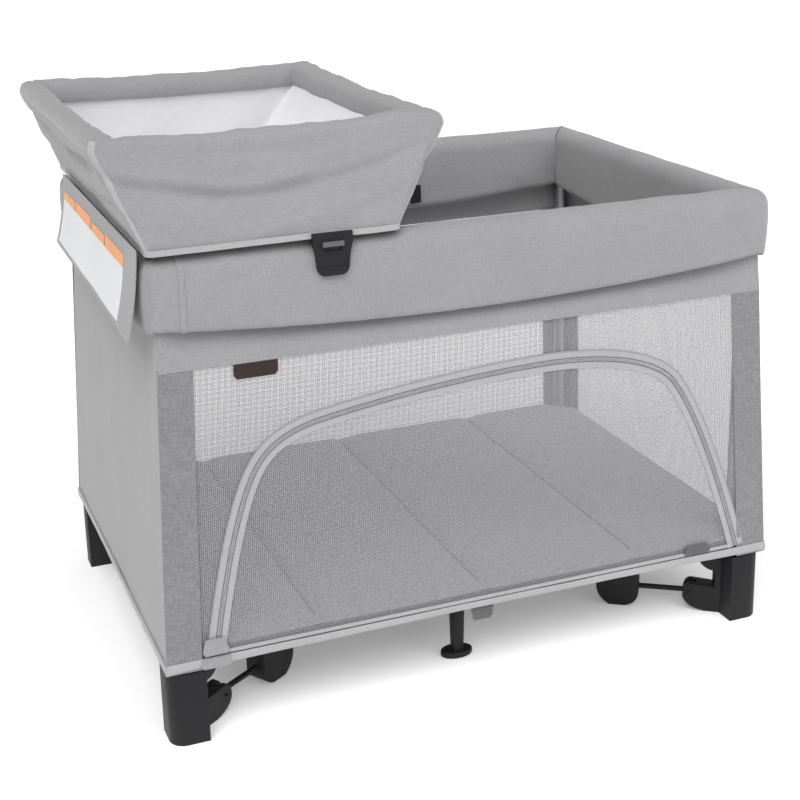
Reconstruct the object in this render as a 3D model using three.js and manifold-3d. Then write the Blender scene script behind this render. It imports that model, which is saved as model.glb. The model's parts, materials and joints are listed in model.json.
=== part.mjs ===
// Folding travel playpen with a lift-off changing tray.
// Millimetres, +Z up. X runs along the long sides, the front is at -Y.
// The floor is z = 0 and the origin is the middle of the footprint, tray overhang included.
import * as THREE from 'three';
import { mergeVertices } from 'three/addons/utils/BufferGeometryUtils.js';
import Module from 'manifold-3d';

const wasm = await Module();
wasm.setup();

// ---- Driving sizes -------------------------------------------------------------------
const PEN_LENGTH = 1100; // outside of the fabric at the hem
const PEN_WIDTH = 766;
const HEM_HEIGHT = 127; // lower edge of the fabric walls
const BAND_TOP = 797;
const BAND_HEIGHT = 125; // of the padded top band
const WALL_LEAN = 0.045; // the walls lean in by this much for each mm of height
const GAP = 0.3; // between pieces that touch
const HINGE_GAP = 0.4; // between a tongue and the ears it turns in

// Corner posts, feet and top brackets
const POST_INSET = 42; // from the hem's outside to the post's axis, along X and along Y
const POST_RADIUS = 12;
const POST_WALL = 1.6;
const POST_BOTTOM = 30;
const FOOT_OUT = 40; // foot block, from the post's axis to its outer faces
const FOOT_IN = 22; // and to its inner faces
const FOOT_ROUND = 26;
const FOOT_ARM_WIDTH = 32;
const PIN_REACH = 72; // from the post's axis to the base leg's pin, along the diagonal
const PIN_HEIGHT = 35;
const PIN_RADIUS = 3;

// Top rails, each in two halves with a locking housing between them
const RAIL_DROP = 33; // from the band's top to the rail's axis
const RAIL_RADIUS = 10;
const LOCK_HALF = 34; // from the housing's middle to each of its two pins
const EAR_RADIUS = 12;
const EAR_WIDTH = 24; // across both ears
const TONGUE_WIDTH = 8.2;
const TUBE_START = 14; // from a pin to the end of the round tube

// Padded band round the rails
const BAND_OUT = 33; // from the rail's axis to the band's outer face
const BAND_IN = 27;

// Base: hub, four diagonal legs, two middle legs
const HUB_PIN_RADIUS = 45; // from the hub's axis to each leg's pin
const HUB_CORE_RADIUS = 33;
const HUB_BOTTOM = 20;
const HUB_ABOVE_TUBES = 14; // from the leg tubes' axis to the hub's top
const ROD_RADIUS = 5;
const BLOCK_START = 92; // support block, from the corner pin along the leg
const BLOCK_LENGTH = 78;
const BLOCK_WIDTH = 40;
const BLOCK_ABOVE_TUBE = 12; // from the leg tube's axis to the block's top
const GROUND_CLEARANCE = 2; // below the blocks and the middle feet
const LEG_TUBE_HEIGHT = 88;
const LEG_TUBE_RADIUS = 10;
const MID_LEG_REACH = 290; // from the hub's axis to the middle foot
const MID_LEG_SHIFT = 17; // the two middle legs pass each other when folded
const MID_TUBE_RADIUS = 8;

// Fabric walls, floor and mattress
const CLOTH = 3;
const DOOR_GAP = 1.2;
const DOOR_ABOVE_HEM = 25;
const DOOR_BELOW_BAND = 128;
const DOOR_LEFT_MARGIN = 80; // from the wall's left edge to the door's lower left corner
const DOOR_RIGHT_MARGIN = 60;
const FLOOR_ABOVE_HEM = 14;
const MATTRESS_CLEARANCE = 6; // above the floor sheet
const MATTRESS_THICKNESS = 27;
const MATTRESS_MARGIN = 11; // from the hem's outside to the mattress edge
const NOTCH_CLEARANCE = 13; // from each post to the notch in the mattress round it

// Changing tray
const TRAY_INSET = 8; // from the band's left face to the tray's left end
const TRAY_LENGTH = 393; // along X, at its base
const TRAY_DEPTH = 164; // from the underside of its cloth to the top of its rim
const TRAY_FLARE = { left: 69, right: 96, half: -28 }; // from its base to its rim
const TRAY_CLOTH = 7;
const TRAY_FLOOR_CLOTH = 4;
const TRAY_RIM_WIDTH = 48;
const TRAY_RIM_DEPTH = 30;
const TRAY_PAD_THICKNESS = 22;
const TRAY_TUBE_RADIUS = 5.5;
const CLIP_WIDTH = 64;
const CLIP_PLACE = 281; // from the tray's left end to the clip's middle
const CLIP_DROP = 62; // the clip's tip, below the tray frame's axis
const FLAP = { frontInset: 12, backInset: 112, drop: 136, thickness: 2.4, kick: 20 };

// ---- Places worked out from them ---------------------------------------------------------
const POST_X = PEN_LENGTH / 2 - POST_INSET;
const POST_Y = PEN_WIDTH / 2 - POST_INSET;
const BAND_BOTTOM = BAND_TOP - BAND_HEIGHT;
const RAIL_HEIGHT = BAND_TOP - RAIL_DROP;
const DIAGONAL = Math.hypot(POST_X, POST_Y);
const DIAGONAL_ANGLE = Math.atan2(POST_Y, POST_X);
// The rails, seen in plan, keep the diagonals' direction as they fold, so each rail's unfolding
// part is the same share of its side as the leg's is of the diagonal.
const FIXED_SHARE = (PIN_REACH + HUB_PIN_RADIUS) / DIAGONAL;
const BRACKET_X = POST_X * FIXED_SHARE - LOCK_HALF; // post axis to rail pin
const BRACKET_Y = POST_Y * FIXED_SHARE - LOCK_HALF;
const HUB_TOP = LEG_TUBE_HEIGHT + HUB_ABOVE_TUBES;
const BLOCK_TOP = LEG_TUBE_HEIGHT + BLOCK_ABOVE_TUBE;
const DOOR_BOTTOM = HEM_HEIGHT + DOOR_ABOVE_HEM;
const DOOR_TOP = BAND_BOTTOM - DOOR_BELOW_BAND;
const FLOOR_HEIGHT = HEM_HEIGHT + FLOOR_ABOVE_HEM;
const MATTRESS_BOTTOM = FLOOR_HEIGHT + CLOTH + MATTRESS_CLEARANCE;
const MATTRESS_TOP = MATTRESS_BOTTOM + MATTRESS_THICKNESS;
const MATTRESS_NOTCH = POST_INSET - MATTRESS_MARGIN + POST_RADIUS + NOTCH_CLEARANCE;
const TRAY_FRAME_HEIGHT = BAND_TOP + 3 + TRAY_TUBE_RADIUS;
const TRAY_BASE_HEIGHT = TRAY_FRAME_HEIGHT + TRAY_TUBE_RADIUS + 1; // underside of the tray's cloth
const TRAY_FLOOR_HEIGHT = TRAY_BASE_HEIGHT + TRAY_FLOOR_CLOTH;
const TRAY_RIM_HEIGHT = TRAY_BASE_HEIGHT + TRAY_DEPTH;
const TRAY_LEFT = -(POST_X + BAND_OUT - TRAY_INSET);
const TRAY_BOTTOM = { left: TRAY_LEFT, right: TRAY_LEFT + TRAY_LENGTH, half: POST_Y + BAND_OUT };
const TRAY_RIM = {
  left: TRAY_BOTTOM.left - TRAY_FLARE.left,
  right: TRAY_BOTTOM.right + TRAY_FLARE.right,
  half: TRAY_BOTTOM.half + TRAY_FLARE.half,
};
const CLIP_X = TRAY_LEFT + CLIP_PLACE;
// Half of what the tray's overhang adds on the left, so that the footprint's middle is x = 0.
const SHIFT_X = -(TRAY_RIM.left + PEN_LENGTH / 2) / 2;

// ---- Finishes ----------------------------------------------------------------------------
const finish = (color, roughness, metalness = 0) => ({ color, roughness, metalness });
const GREY_CLOTH = finish(0xb3b3b5, 0.95);
const GREY_MESH = finish(0xc3c3c5, 0.95);
const PALE_CLOTH = finish(0xbcbcbe, 0.95);
const WHITE_CLOTH = finish(0xf1f1f0, 0.9);
const BLACK_PLASTIC = finish(0x2c2b2e, 0.5);
const BLACK_TUBE = finish(0x222226, 0.4, 0.6);
const BARE_TUBE = finish(0x9a9c9f, 0.35, 0.9);

// ---- Making solids -----------------------------------------------------------------------
function solidOf(geometry) {
  const bare = geometry.clone();
  bare.deleteAttribute('normal');
  bare.deleteAttribute('uv');
  const merged = mergeVertices(bare, 1e-4);
  const mesh = new wasm.Mesh({
    numProp: 3,
    vertProperties: new Float32Array(merged.attributes.position.array),
    triVerts: new Uint32Array(merged.index.array),
  });
  return new wasm.Manifold(mesh);
}

function geometryOf(solid) {
  const mesh = solid.getMesh();
  const geometry = new THREE.BufferGeometry();
  geometry.setAttribute('position', new THREE.BufferAttribute(mesh.vertProperties, 3));
  geometry.setIndex(new THREE.BufferAttribute(mesh.triVerts, 1));
  geometry.computeVertexNormals();
  return geometry;
}

const join = (...geometries) => geometryOf(geometries.map(solidOf).reduce((a, b) => a.add(b)));
const cut = (body, ...tools) => geometryOf(tools.map(solidOf).reduce((a, b) => a.subtract(b), solidOf(body)));

function box(x0, x1, y0, y1, z0, z1) {
  const geometry = new THREE.BoxGeometry(x1 - x0, y1 - y0, z1 - z0);
  return geometry.translate((x0 + x1) / 2, (y0 + y1) / 2, (z0 + z1) / 2);
}

// A round bar between two points.
function bar(from, to, radius, sides = 12) {
  const a = new THREE.Vector3(...from);
  const b = new THREE.Vector3(...to);
  const direction = b.clone().sub(a);
  const geometry = new THREE.CylinderGeometry(radius, radius, direction.length(), sides);
  const up = new THREE.Vector3(0, 1, 0);
  const turn = new THREE.Quaternion().setFromUnitVectors(up, direction.normalize());
  geometry.applyQuaternion(turn);
  const middle = a.add(b).multiplyScalar(0.5);
  return geometry.translate(middle.x, middle.y, middle.z);
}

// An outline in X and Z, given a width along Y about y = middle.
function plate(outline, width, middle = 0) {
  const shape = outline instanceof THREE.Shape ? outline : outlineShape(outline);
  const geometry = new THREE.ExtrudeGeometry(shape, {
    depth: width,
    bevelEnabled: false,
    curveSegments: 7,
  });
  return geometry.rotateX(Math.PI / 2).translate(0, middle + width / 2, 0);
}

// An outline in X and Y, given a height from z0 to z1.
function slab(outline, z0, z1) {
  const shape = outline instanceof THREE.Shape ? outline : outlineShape(outline);
  const geometry = new THREE.ExtrudeGeometry(shape, {
    depth: z1 - z0,
    bevelEnabled: false,
    curveSegments: 6,
  });
  return geometry.translate(0, 0, z0);
}

const outlineShape = (points) => new THREE.Shape(points.map(([x, y]) => new THREE.Vector2(x, y)));

function roundedRect(x0, x1, y0, y1, radius) {
  const shape = new THREE.Shape();
  shape.moveTo(x0 + radius, y0);
  shape.lineTo(x1 - radius, y0);
  shape.absarc(x1 - radius, y0 + radius, radius, -Math.PI / 2, 0);
  shape.lineTo(x1, y1 - radius);
  shape.absarc(x1 - radius, y1 - radius, radius, 0, Math.PI / 2);
  shape.lineTo(x0 + radius, y1);
  shape.absarc(x0 + radius, y1 - radius, radius, Math.PI / 2, Math.PI);
  shape.lineTo(x0, y0 + radius);
  shape.absarc(x0 + radius, y0 + radius, radius, Math.PI, 1.5 * Math.PI);
  return shape;
}

// A solid between two rectangles at two heights.
function loft(low, z0, high, z1) {
  const corners = [low, high].flatMap((r, level) => [
    [r.left, -r.half], [r.right, -r.half], [r.right, r.half], [r.left, r.half],
  ].map(([x, y]) => [x, y, level ? z1 : z0]));
  const geometry = new THREE.BufferGeometry();
  geometry.setAttribute('position', new THREE.BufferAttribute(new Float32Array(corners.flat()), 3));
  const index = [0, 2, 1, 0, 3, 2, 4, 5, 6, 4, 6, 7];
  for (let side = 0; side < 4; side += 1) {
    const next = (side + 1) % 4;
    index.push(side, next, side + 4, next, next + 4, side + 4);
  }
  geometry.setIndex(index);
  return geometry;
}

const shrink = (r, by) => ({ left: r.left + by, right: r.right - by, half: r.half - by });

// Mirrors a geometry into the corner given by the two signs, keeping its faces outward.
function toCorner(geometry, sx, sy) {
  const result = geometry.clone().scale(sx, sy, 1);
  if (sx * sy > 0) return result;
  const index = result.index ? Array.from(result.index.array) : null;
  const order = index ?? Array.from({ length: result.attributes.position.count }, (_, i) => i);
  for (let i = 0; i < order.length; i += 3) [order[i + 1], order[i + 2]] = [order[i + 2], order[i + 1]];
  result.setIndex(order);
  return result;
}

// The walls' lean: every level is scaled towards the middle of the pen.
function lean(geometry) {
  const result = geometry.clone();
  const position = result.attributes.position;
  for (let i = 0; i < position.count; i += 1) {
    const inward = WALL_LEAN * (position.getZ(i) - HEM_HEIGHT);
    position.setX(i, position.getX(i) * (1 - inward / (PEN_LENGTH / 2)));
    position.setY(i, position.getY(i) * (1 - inward / (PEN_WIDTH / 2)));
  }
  return result;
}

// ---- The object ----------------------------------------------------------------------------
const pen = new THREE.Group();
pen.position.x = SHIFT_X;

function place(parent, name, geometry, look) {
  const mesh = new THREE.Mesh(geometry, new THREE.MeshStandardMaterial(look));
  mesh.name = name;
  parent.add(mesh);
}

const CORNERS = [
  { name: 'fl', sx: -1, sy: -1 },
  { name: 'fr', sx: 1, sy: -1 },
  { name: 'bl', sx: -1, sy: 1 },
  { name: 'br', sx: 1, sy: 1 },
];

// ---- Corner posts ----
function post() {
  const inner = POST_RADIUS - POST_WALL;
  const top = RAIL_HEIGHT + EAR_RADIUS - 4;
  const profile = [
    [inner, POST_BOTTOM], [POST_RADIUS, POST_BOTTOM], [POST_RADIUS, top], [inner, top], [inner, POST_BOTTOM],
  ].map(([r, z]) => new THREE.Vector2(r, z));
  return new THREE.LatheGeometry(profile, 16).rotateX(Math.PI / 2);
}

// ---- Corner feet: a rounded block under the hem with a long lower arm along the diagonal ----
// Made about the post's axis, with the outside of the corner towards +X and +Y.
function foot() {
  const top = HEM_HEIGHT - 1;
  const block = slab(footOutline(), 0, top);
  const armEnd = PIN_REACH + 12;
  const profile = new THREE.Shape();
  profile.moveTo(-20, 0);
  profile.lineTo(44, 2);
  profile.quadraticCurveTo(armEnd - 4, 8, armEnd, 30);
  profile.quadraticCurveTo(armEnd, 52, armEnd - 14, 54);
  profile.lineTo(26, 50);
  profile.lineTo(26, top - 42);
  profile.quadraticCurveTo(46, top - 42, 58, top - 20);
  profile.lineTo(58, top);
  profile.lineTo(-20, top);
  profile.closePath();
  const inward = -(Math.PI - DIAGONAL_ANGLE);
  const arm = plate(profile, FOOT_ARM_WIDTH).rotateZ(inward);
  const slotWidth = 2 * ROD_RADIUS + 2 * HINGE_GAP + 1;
  const slot = box(PIN_REACH - 12, armEnd + 20, -slotWidth / 2, slotWidth / 2, PIN_HEIGHT - 14, 60).rotateZ(inward);
  const pin = bar(
    [PIN_REACH, -slotWidth / 2 - 2, PIN_HEIGHT],
    [PIN_REACH, slotWidth / 2 + 2, PIN_HEIGHT],
    PIN_RADIUS,
    8,
  ).rotateZ(inward);
  const socket = bar([0, 0, POST_BOTTOM - GAP], [0, 0, top + 10], POST_RADIUS + GAP, 16);
  return join(cut(join(block, arm), slot, socket), pin);
}

function footOutline() {
  const shape = new THREE.Shape();
  shape.moveTo(-FOOT_IN, -FOOT_IN);
  shape.lineTo(FOOT_OUT, -FOOT_IN);
  shape.lineTo(FOOT_OUT, FOOT_OUT - FOOT_ROUND);
  shape.absarc(FOOT_OUT - FOOT_ROUND, FOOT_OUT - FOOT_ROUND, FOOT_ROUND, 0, Math.PI / 2);
  shape.lineTo(-FOOT_IN, FOOT_OUT);
  shape.closePath();
  return shape;
}

// ---- A pair of ears with a pin across them, at the end of an arm that comes from -X ----
function ears(reach, from, width = EAR_WIDTH, radius = EAR_RADIUS) {
  const solid = join(
    box(from, reach, -width / 2, width / 2, -radius, radius),
    bar([reach, -width / 2, 0], [reach, width / 2, 0], radius, 16),
  );
  const slotted = cut(solid, tongueRoom(reach, radius));
  return join(slotted, bar([reach, -TONGUE_GAP - 2, 0], [reach, TONGUE_GAP + 2, 0], PIN_RADIUS, 8));
}

// The slot that a tongue turns in, about a pin at that reach.
const TONGUE_GAP = TONGUE_WIDTH / 2 + HINGE_GAP;
const tongueRoom = (reach, radius = EAR_RADIUS) => box(
  reach - radius, reach + radius + 1, -TONGUE_GAP, TONGUE_GAP, -radius - 1, radius + 1,
);

const pinHole = (x, z = 0) => bar([x, -20, z], [x, 20, z], PIN_RADIUS + GAP + 0.2, 8);

// ---- Top corner brackets ----
// Made about the post's axis at the rail's height, outside of the corner towards +X and +Y.
function bracket() {
  const sleeve = cut(
    bar([0, 0, -34], [0, 0, EAR_RADIUS], POST_RADIUS + 4.6, 16),
    tongueRoom(BRACKET_X).rotateZ(Math.PI),
    tongueRoom(BRACKET_Y).rotateZ(-Math.PI / 2),
  );
  const alongX = ears(BRACKET_X, 0).rotateZ(Math.PI);
  const alongY = ears(BRACKET_Y, 0).rotateZ(-Math.PI / 2);
  const bore = bar([0, 0, -40], [0, 0, EAR_RADIUS - 4 + GAP], POST_RADIUS + GAP, 16);
  return cut(join(sleeve, alongX, alongY), bore);
}

// ---- A rail half: tube with a tongue at each end, from pin to pin along +X ----
function railHalf(length) {
  const tongueReach = TUBE_START + 6;
  const tongues = [0, length].flatMap((x) => {
    const towards = x === 0 ? 1 : -1;
    const near = Math.min(x, x + towards * tongueReach);
    const far = Math.max(x, x + towards * tongueReach);
    return [
      box(near, far, -TONGUE_WIDTH / 2, TONGUE_WIDTH / 2, -RAIL_RADIUS + 1, RAIL_RADIUS - 1),
      bar([x, -TONGUE_WIDTH / 2, 0], [x, TONGUE_WIDTH / 2, 0], RAIL_RADIUS - 1, 12),
    ];
  });
  const tube = bar([TUBE_START, 0, 0], [length - TUBE_START, 0, 0], RAIL_RADIUS, 12);
  return cut(join(tube, ...tongues), pinHole(0), pinHole(length));
}

// ---- The locking housing between two rail halves, its middle at the origin ----
function railLock() {
  const half = ears(LOCK_HALF, -1);
  const button = box(-12, 12, -7, 7, -EAR_RADIUS - 5, 0);
  return join(half, half.clone().rotateZ(Math.PI), button);
}

// ---- Padded band ----
// Half a side: from just past the corner pin to the middle of the side, round the tube and housing.
// The outside of the pen is towards -Y.
function bandHalf(from, length) {
  const section = bandSection();
  const solid = new THREE.ExtrudeGeometry(section, { depth: length, bevelEnabled: false, curveSegments: 4 });
  solid.applyMatrix4(new THREE.Matrix4().makeBasis(
    new THREE.Vector3(0, 1, 0), new THREE.Vector3(0, 0, 1), new THREE.Vector3(1, 0, 0),
  )).translate(from, 0, 0);
  const end = from + length;
  const room = EAR_WIDTH / 2 + 1;
  const tubeRoom = bar([from - 5, 0, 0], [end + 5, 0, 0], RAIL_RADIUS + 0.8, 12);
  const housingRoom = box(end - LOCK_HALF - TUBE_START, end + 5, -room, room, -EAR_RADIUS - 6, EAR_RADIUS + 1);
  return cut(solid, tubeRoom, housingRoom);
}

function bandSection() {
  return roundedRect(-BAND_OUT, BAND_IN, BAND_BOTTOM - RAIL_HEIGHT, BAND_TOP - RAIL_HEIGHT, 20);
}

// The corner of the band, round the post and its bracket, outside towards +X and +Y.
function bandCorner() {
  const endX = BRACKET_X + TUBE_START - GAP;
  const endY = BRACKET_Y + TUBE_START - GAP;
  const plan = new THREE.Shape();
  plan.moveTo(-endX, BAND_OUT);
  plan.lineTo(-endX, -BAND_IN);
  plan.lineTo(-BAND_IN, -BAND_IN);
  plan.lineTo(-BAND_IN, -endY);
  plan.lineTo(BAND_OUT, -endY);
  plan.lineTo(BAND_OUT, 8);
  plan.absarc(8, 8, BAND_OUT - 8, 0, Math.PI / 2);
  plan.closePath();
  const solid = slab(plan, BAND_BOTTOM - RAIL_HEIGHT, BAND_TOP - RAIL_HEIGHT);
  const room = EAR_WIDTH / 2 + 1;
  const high = EAR_RADIUS + 1;
  return cut(
    solid,
    box(-endX - 5, room, -room, room, -high, high),
    box(-room, room, -endY - 5, room, -high, high),
    bar([0, 0, BAND_BOTTOM - RAIL_HEIGHT - 5], [0, 0, high], POST_RADIUS + 5.6, 12),
  );
}

// ---- Base leg: rod, support block and tube, made along +X from the corner pin ----
const LEG_LENGTH = DIAGONAL - PIN_REACH - HUB_PIN_RADIUS;

function baseLeg() {
  const blockEnd = BLOCK_START + BLOCK_LENGTH;
  const low = GROUND_CLEARANCE - PIN_HEIGHT;
  const high = BLOCK_TOP - PIN_HEIGHT;
  const tubeLevel = LEG_TUBE_HEIGHT - PIN_HEIGHT;
  const outline = new THREE.Shape();
  outline.moveTo(BLOCK_START, high);
  outline.lineTo(BLOCK_START, low + 24);
  outline.quadraticCurveTo(BLOCK_START + 4, low + 4, BLOCK_START + 24, low);
  outline.lineTo(blockEnd - 24, low);
  outline.quadraticCurveTo(blockEnd, low + 14, blockEnd, low + 40);
  outline.lineTo(blockEnd, high);
  outline.closePath();
  const tubeEnd = LEG_LENGTH - 22;
  const lug = outlineShape([
    [tubeEnd - 14, tubeLevel + 8], [tubeEnd + 8, tubeLevel + 8], [LEG_LENGTH + 8, 4],
    [LEG_LENGTH + 4, -7], [LEG_LENGTH - 8, -4], [tubeEnd - 14, tubeLevel - 12],
  ]);
  const solid = join(
    bar([0, 0, 0], [BLOCK_START + 8, 0, 0], ROD_RADIUS, 10),
    bar([0, -ROD_RADIUS, 0], [0, ROD_RADIUS, 0], ROD_RADIUS + 3, 12),
    plate(outline, BLOCK_WIDTH),
    bar([blockEnd - 10, 0, tubeLevel], [tubeEnd, 0, tubeLevel], LEG_TUBE_RADIUS, 12),
    plate(lug, TONGUE_WIDTH),
    bar([LEG_LENGTH, -TONGUE_WIDTH / 2, 0], [LEG_LENGTH, TONGUE_WIDTH / 2, 0], 9, 12),
  );
  return cut(solid, pinHole(0), pinHole(LEG_LENGTH));
}

// ---- Hub: a core with ears for the four legs and, higher up, for the two middle legs ----
const HUB_DIRECTIONS = [DIAGONAL_ANGLE, Math.PI - DIAGONAL_ANGLE, Math.PI + DIAGONAL_ANGLE, -DIAGONAL_ANGLE];

function hub() {
  const core = bar([0, 0, HUB_BOTTOM], [0, 0, HUB_TOP], HUB_CORE_RADIUS, 24);
  const legEars = HUB_DIRECTIONS.map((angle) => ears(HUB_PIN_RADIUS, 10, 21, 10)
    .rotateZ(angle)
    .translate(0, 0, PIN_HEIGHT));
  const midEars = [-1, 1].map((side) => ears(HUB_PIN_RADIUS, 0, 21, 10)
    .rotateZ((side * Math.PI) / 2)
    .translate(side * MID_LEG_SHIFT, 0, LEG_TUBE_HEIGHT));
  // Room for each tongue to swing down past the core.
  const room = TONGUE_GAP + 0.5;
  const swing = HUB_DIRECTIONS.map((angle) => (
    box(HUB_CORE_RADIUS, HUB_PIN_RADIUS + 35, -room, room, 0, HUB_BOTTOM).rotateZ(angle)
  ));
  return cut(join(core, ...legEars, ...midEars), ...swing);
}

// ---- Middle leg, made along +X from its hub pin, with a foot at the far end ----
function midLeg() {
  const reach = MID_LEG_REACH - HUB_PIN_RADIUS;
  const ground = GROUND_CLEARANCE - LEG_TUBE_HEIGHT;
  const shank = outlineShape([
    [reach - 13, MID_TUBE_RADIUS], [reach + 13, MID_TUBE_RADIUS],
    [reach + 8, ground + 10], [reach - 8, ground + 10],
  ]);
  const pad = new THREE.CylinderGeometry(14, 16, 10, 24).rotateX(Math.PI / 2)
    .scale(0.75, 1, 1)
    .translate(reach, 0, ground + 5);
  const solid = join(
    bar([TUBE_START, 0, 0], [reach, 0, 0], MID_TUBE_RADIUS, 12),
    box(0, TUBE_START + 6, -TONGUE_WIDTH / 2, TONGUE_WIDTH / 2, -7, 7),
    bar([0, -TONGUE_WIDTH / 2, 0], [0, TONGUE_WIDTH / 2, 0], 8, 12),
    plate(shank, 18),
    pad,
  );
  return cut(solid, pinHole(0));
}

// ---- Fabric walls and the arched door ----
// The arch, from its lower left corner round to its lower right, grown outwards by a margin.
function arch(grow) {
  const low = DOOR_BOTTOM - grow;
  const left = -PEN_LENGTH / 2 + DOOR_LEFT_MARGIN;
  const right = PEN_LENGTH / 2 - DOOR_RIGHT_MARGIN;
  const top = DOOR_TOP + grow;
  const shape = new THREE.Shape();
  shape.moveTo(left - grow, low);
  shape.bezierCurveTo(
    left + 20 - grow, DOOR_BOTTOM + 138,
    left + 45 - grow, DOOR_TOP - 144,
    left + 74 - grow * 0.8, DOOR_TOP - 98 + grow * 0.6,
  );
  shape.bezierCurveTo(left + 98, top - 58, left + 140, top - 44, left + 180, top - 36);
  shape.bezierCurveTo(left + 300, top - 16, right - 510, top - 2, right - 370, top);
  shape.bezierCurveTo(
    right - 250, top,
    right - 160, top - 22,
    right - 124 + grow * 0.7, DOOR_TOP - 60 + grow * 0.7,
  );
  shape.bezierCurveTo(right - 80 + grow, DOOR_TOP - 114, right - 35 + grow, DOOR_BOTTOM + 148, right + grow, low);
  shape.closePath();
  return shape;
}

function frontWall() {
  const top = BAND_BOTTOM - 4;
  const shape = outlineShape([
    [-PEN_LENGTH / 2, HEM_HEIGHT], [PEN_LENGTH / 2, HEM_HEIGHT], [PEN_LENGTH / 2, top], [-PEN_LENGTH / 2, top],
  ]);
  shape.holes.push(arch(DOOR_GAP));
  return lean(plate(shape, CLOTH, -PEN_WIDTH / 2 + CLOTH / 2));
}

const door = () => lean(plate(arch(0), CLOTH, -PEN_WIDTH / 2 + CLOTH / 2));

function plainWall(x0, x1, y0, y1) {
  return lean(box(x0, x1, y0, y1, HEM_HEIGHT, BAND_BOTTOM - 4));
}

// ---- Floor and mattress ----
function floorSheet() {
  const x = PEN_LENGTH / 2 - CLOTH - 2;
  const y = PEN_WIDTH / 2 - CLOTH - 2;
  const sheet = box(-x, x, -y, y, FLOOR_HEIGHT, FLOOR_HEIGHT + CLOTH);
  const holes = CORNERS.map(({ sx, sy }) => bar(
    [sx * POST_X, sy * POST_Y, FLOOR_HEIGHT - 5],
    [sx * POST_X, sy * POST_Y, FLOOR_HEIGHT + 10],
    POST_RADIUS + 1,
    12,
  ));
  return cut(sheet, ...holes);
}

// The right half of the mattress; the left half is its mirror image.
function mattressHalf() {
  const x = PEN_LENGTH / 2 - MATTRESS_MARGIN;
  const y = PEN_WIDTH / 2 - MATTRESS_MARGIN;
  const n = MATTRESS_NOTCH;
  return slab([
    [GAP, -y], [x - n, -y], [x - n, -y + n], [x, -y + n], [x, y - n], [x - n, y - n], [x - n, y], [GAP, y],
  ], MATTRESS_BOTTOM, MATTRESS_TOP);
}

// ---- Changing tray ----
function trayShell() {
  const rimBase = TRAY_RIM_HEIGHT - TRAY_RIM_DEPTH;
  const share = (rimBase - TRAY_BASE_HEIGHT) / (TRAY_RIM_HEIGHT - TRAY_BASE_HEIGHT);
  const mix = (key) => TRAY_BOTTOM[key] + (TRAY_RIM[key] - TRAY_BOTTOM[key]) * share;
  const high = { left: mix('left'), right: mix('right'), half: mix('half') };
  const outer = loft(TRAY_BOTTOM, TRAY_BASE_HEIGHT, high, rimBase - GAP);
  const inner = loft(shrink(TRAY_BOTTOM, TRAY_CLOTH), TRAY_FLOOR_HEIGHT, shrink(high, TRAY_CLOTH), rimBase + 1);
  return cut(outer, inner);
}

function trayRim() {
  const low = TRAY_RIM_HEIGHT - TRAY_RIM_DEPTH;
  const r = TRAY_RIM;
  const shape = roundedRect(r.left, r.right, -r.half, r.half, 22);
  const inside = shrink(r, TRAY_RIM_WIDTH);
  shape.holes.push(roundedRect(inside.left, inside.right, -inside.half, inside.half, 12));
  return slab(shape, low, TRAY_RIM_HEIGHT);
}

function trayPad() {
  const r = shrink(TRAY_BOTTOM, TRAY_CLOTH + 6);
  const low = TRAY_FLOOR_HEIGHT + GAP;
  return slab(roundedRect(r.left, r.right, -r.half, r.half, 20), low, low + TRAY_PAD_THICKNESS);
}

// A flat tube loop under the tray, lying on the front and back bands, with a bar across each clip.
function trayFrame() {
  const r = shrink(TRAY_BOTTOM, TRAY_TUBE_RADIUS + 1);
  const h = TRAY_FRAME_HEIGHT;
  const corners = [[r.left, -r.half], [r.right, -r.half], [r.right, r.half], [r.left, r.half]];
  const tubes = corners.map(([x, y], i) => {
    const [nextX, nextY] = corners[(i + 1) % corners.length];
    return bar([x, y, h], [nextX, nextY, h], TRAY_TUBE_RADIUS, 12);
  });
  const elbows = corners.map(([x, y]) => new THREE.SphereGeometry(TRAY_TUBE_RADIUS, 12, 8).translate(x, y, h));
  return join(...tubes, ...elbows);
}

// Clip for the front; the back one is its mirror image. It hangs from the frame's front tube.
const CLIP_AXIS_Y = TRAY_BOTTOM.half - TRAY_TUBE_RADIUS - 1;
const CLIP_FACE_Y = POST_Y + BAND_OUT + 2;

function trayClip() {
  const h = TRAY_FRAME_HEIGHT;
  const half = CLIP_WIDTH / 2;
  const tip = h - CLIP_DROP;
  const outline = new THREE.Shape();
  outline.moveTo(-half, h + 5);
  outline.lineTo(-half, h - 12);
  outline.quadraticCurveTo(-half + 5, h - 26, -half + 6, tip + 14);
  outline.quadraticCurveTo(-half + 8, tip, -half + 20, tip);
  outline.lineTo(half - 20, tip);
  outline.quadraticCurveTo(half - 8, tip, half - 6, tip + 14);
  outline.quadraticCurveTo(half - 5, h - 26, half, h - 12);
  outline.lineTo(half, h + 5);
  outline.closePath();
  const out = CLIP_FACE_Y + 7;
  const face = plate(outline, out - CLIP_FACE_Y, -(CLIP_FACE_Y + out) / 2);
  const slotted = cut(face, box(-14, 14, -out - 1, -out + 3, h - 24, h - 15));
  const saddle = box(-half, half, -CLIP_FACE_Y - 2, -CLIP_AXIS_Y + 2, h - TRAY_TUBE_RADIUS - 1, h + 5);
  const grip = bar([-half - 2, -CLIP_AXIS_Y, h], [half + 2, -CLIP_AXIS_Y, h], TRAY_TUBE_RADIUS + GAP, 12);
  const ridge = box(-half + 10, half - 10, -out - 2, -out + 1, tip + 10, tip + 14);
  return join(cut(join(slotted, saddle), grip), ridge).translate(CLIP_X, 0, 0);
}

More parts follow.
